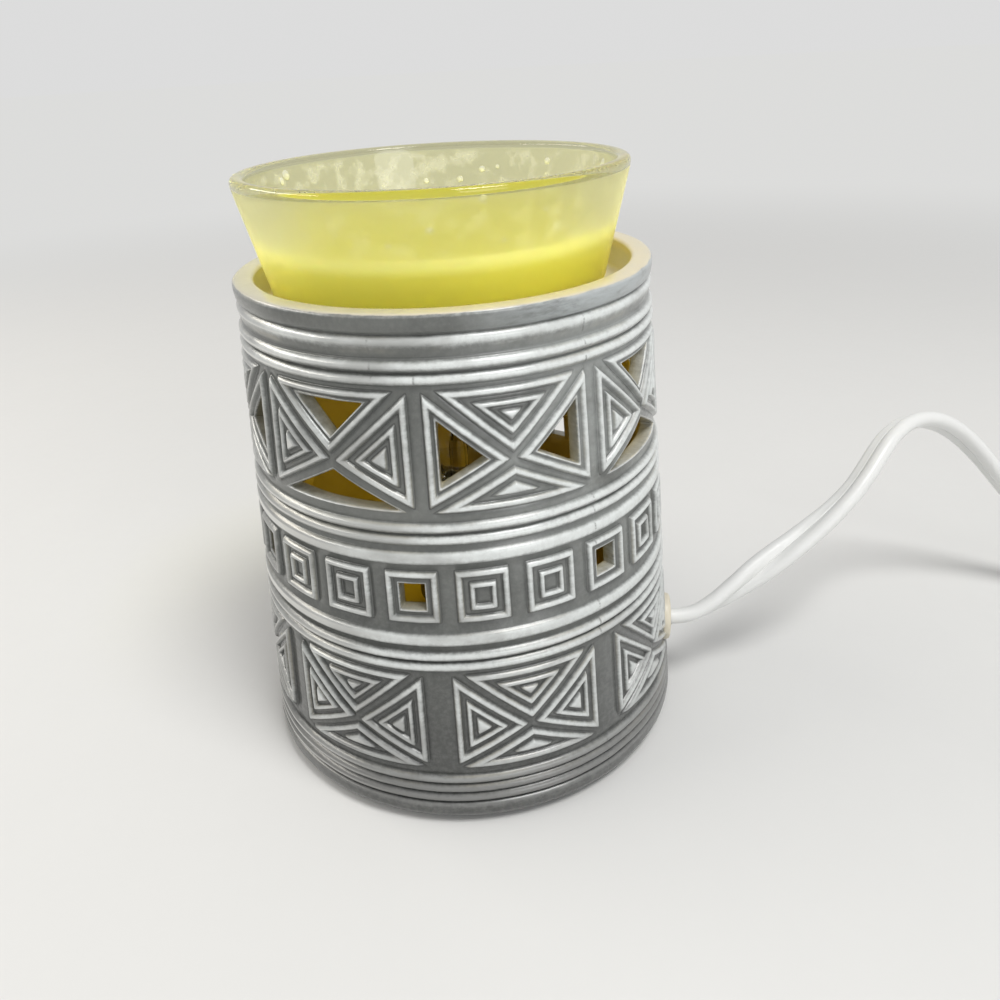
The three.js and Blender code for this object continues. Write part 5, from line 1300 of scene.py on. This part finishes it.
# Pieces whose solids show as they are
FINISHES = {
    satin_steel: ("mount_screw", "mount_washer", "lamp_post", "switch_axle"),
    contact_brass: (
        "holder_thread",
        "holder_contact",
        "terminal_screw_1",
        "terminal_screw_2",
        "plug_blade_narrow",
        "plug_blade_wide",
    ),
    core_insulation: ("lead_core_1", "lead_core_2"),
    dull_solder: ("bulb_contact",),
    black_glass: ("bulb_insulator",),
    cap_aluminium: ("bulb_cap",),
    lamp_glass: ("bulb_stem",),
    tungsten: ("bulb_filament",),
    white_vinyl: ("switch_lower", "switch_upper", "plug_body"),
    wheel_plastic: ("switch_wheel",),
}
BEVELS = {"switch_lower": 0.6, "switch_upper": 0.6, "plug_body": 0.9, "switch_wheel": 0.2}
BEVELS |= {"plug_blade_narrow": 0.3, "plug_blade_wide": 0.3}
for finish, names in FINISHES.items():
    for name in names:
        mesh = nodes[name].data
        mesh.materials.clear()
        mesh.materials.append(finish)
        mesh.polygons.foreach_set("use_smooth", [True] * len(mesh.polygons))
        mesh.set_sharp_from_angle(angle=radians(40))
        if name in BEVELS:
            edge = nodes[name].modifiers.new("edge", "BEVEL")
            edge.width = BEVELS[name] * MM
            edge.segments = 3
            edge.limit_method = "ANGLE"
            edge.angle_limit = radians(35)

# Table, light and background
FLOOR_COLOR, FLOOR_RADIUS = (0.72, 0.72, 0.71), 8
BACKDROP_COLOR, SOFT_LIGHT = (0.72, 0.72, 0.72, 1), 0.43
LIGHT_TARGET = (0, 0, 0.06)


def backdrop_rays(tree):
    """1 for the rays that show the background: the camera's own and those by way of gloss or glass."""
    rays = add(tree, "LightPath").outputs
    shown = larger(tree, rays["Is Camera Ray"], rays["Is Glossy Ray"])
    return larger(tree, shown, rays["Is Transmission Ray"])


def floor_material():
    """Pale and matt round the object, and one even pale tone further off, as the backdrop."""
    material = plain("floor", FLOOR_COLOR, 0.7, 0.02, 0.01, 0.00001)
    tree = material.node_tree
    place = add(tree, "TexCoord").outputs["Object"]
    away = add(tree, "VectorMath", {"operation": "LENGTH"}, Vector=place).outputs["Value"]
    far = fade(tree, away, 0.3, 0.9)
    seen = times(tree, far, backdrop_rays(tree))
    glow = add(tree, "Emission", Color=(*FLOOR_COLOR, 1), Strength=1.0).outputs[0]
    blend(tree, seen, tree.nodes["Principled BSDF"].outputs[0], glow)
    return material


floor_mesh = bpy.data.meshes.new("floor")
turns = np.linspace(0, 2 * pi, 65)[:-1]
corners = [(FLOOR_RADIUS * cos(a), FLOOR_RADIUS * sin(a), 0) for a in turns]
floor_mesh.from_pydata(corners, [], [tuple(range(len(corners)))])
floor_mesh.materials.append(floor_material())
floor = in_scene("floor", floor_mesh)


def area_light(name, place, size, power, color=(1, 1, 1), height=None):
    data = bpy.data.lights.new(name, "AREA")
    data.shape = "RECTANGLE" if height else "DISK"
    data.size = size
    if height:
        data.size_y = height
    data.energy = power
    data.color = color
    light = in_scene(name, data)
    light.location = place
    light.rotation_euler = (Vector(LIGHT_TARGET) - Vector(place)).to_track_quat("-Z", "Y").to_euler()


area_light("key", (0.36, -0.30, 1.0), 0.4, 6.5, (1.0, 0.995, 0.98))
area_light("left", (-0.7, 0.0, 0.5), 0.9, 2.8, (1.0, 0.95, 0.87), 0.08)
area_light("front", (0.6, -0.8, 0.45), 0.5, 1.9)

world = bpy.data.worlds.new("world")
bpy.context.scene.world = world
world.use_nodes = True
sky = world.node_tree
sky.nodes.clear()
soft = add(sky, "Background", Color=(1, 1, 1, 1), Strength=SOFT_LIGHT).outputs[0]
backdrop = add(sky, "Background", Color=BACKDROP_COLOR, Strength=1.0).outputs[0]
add(sky, "OutputWorld")
blend(sky, backdrop_rays(sky), soft, backdrop)

bpy.context.scene.view_settings.view_transform = "Standard"
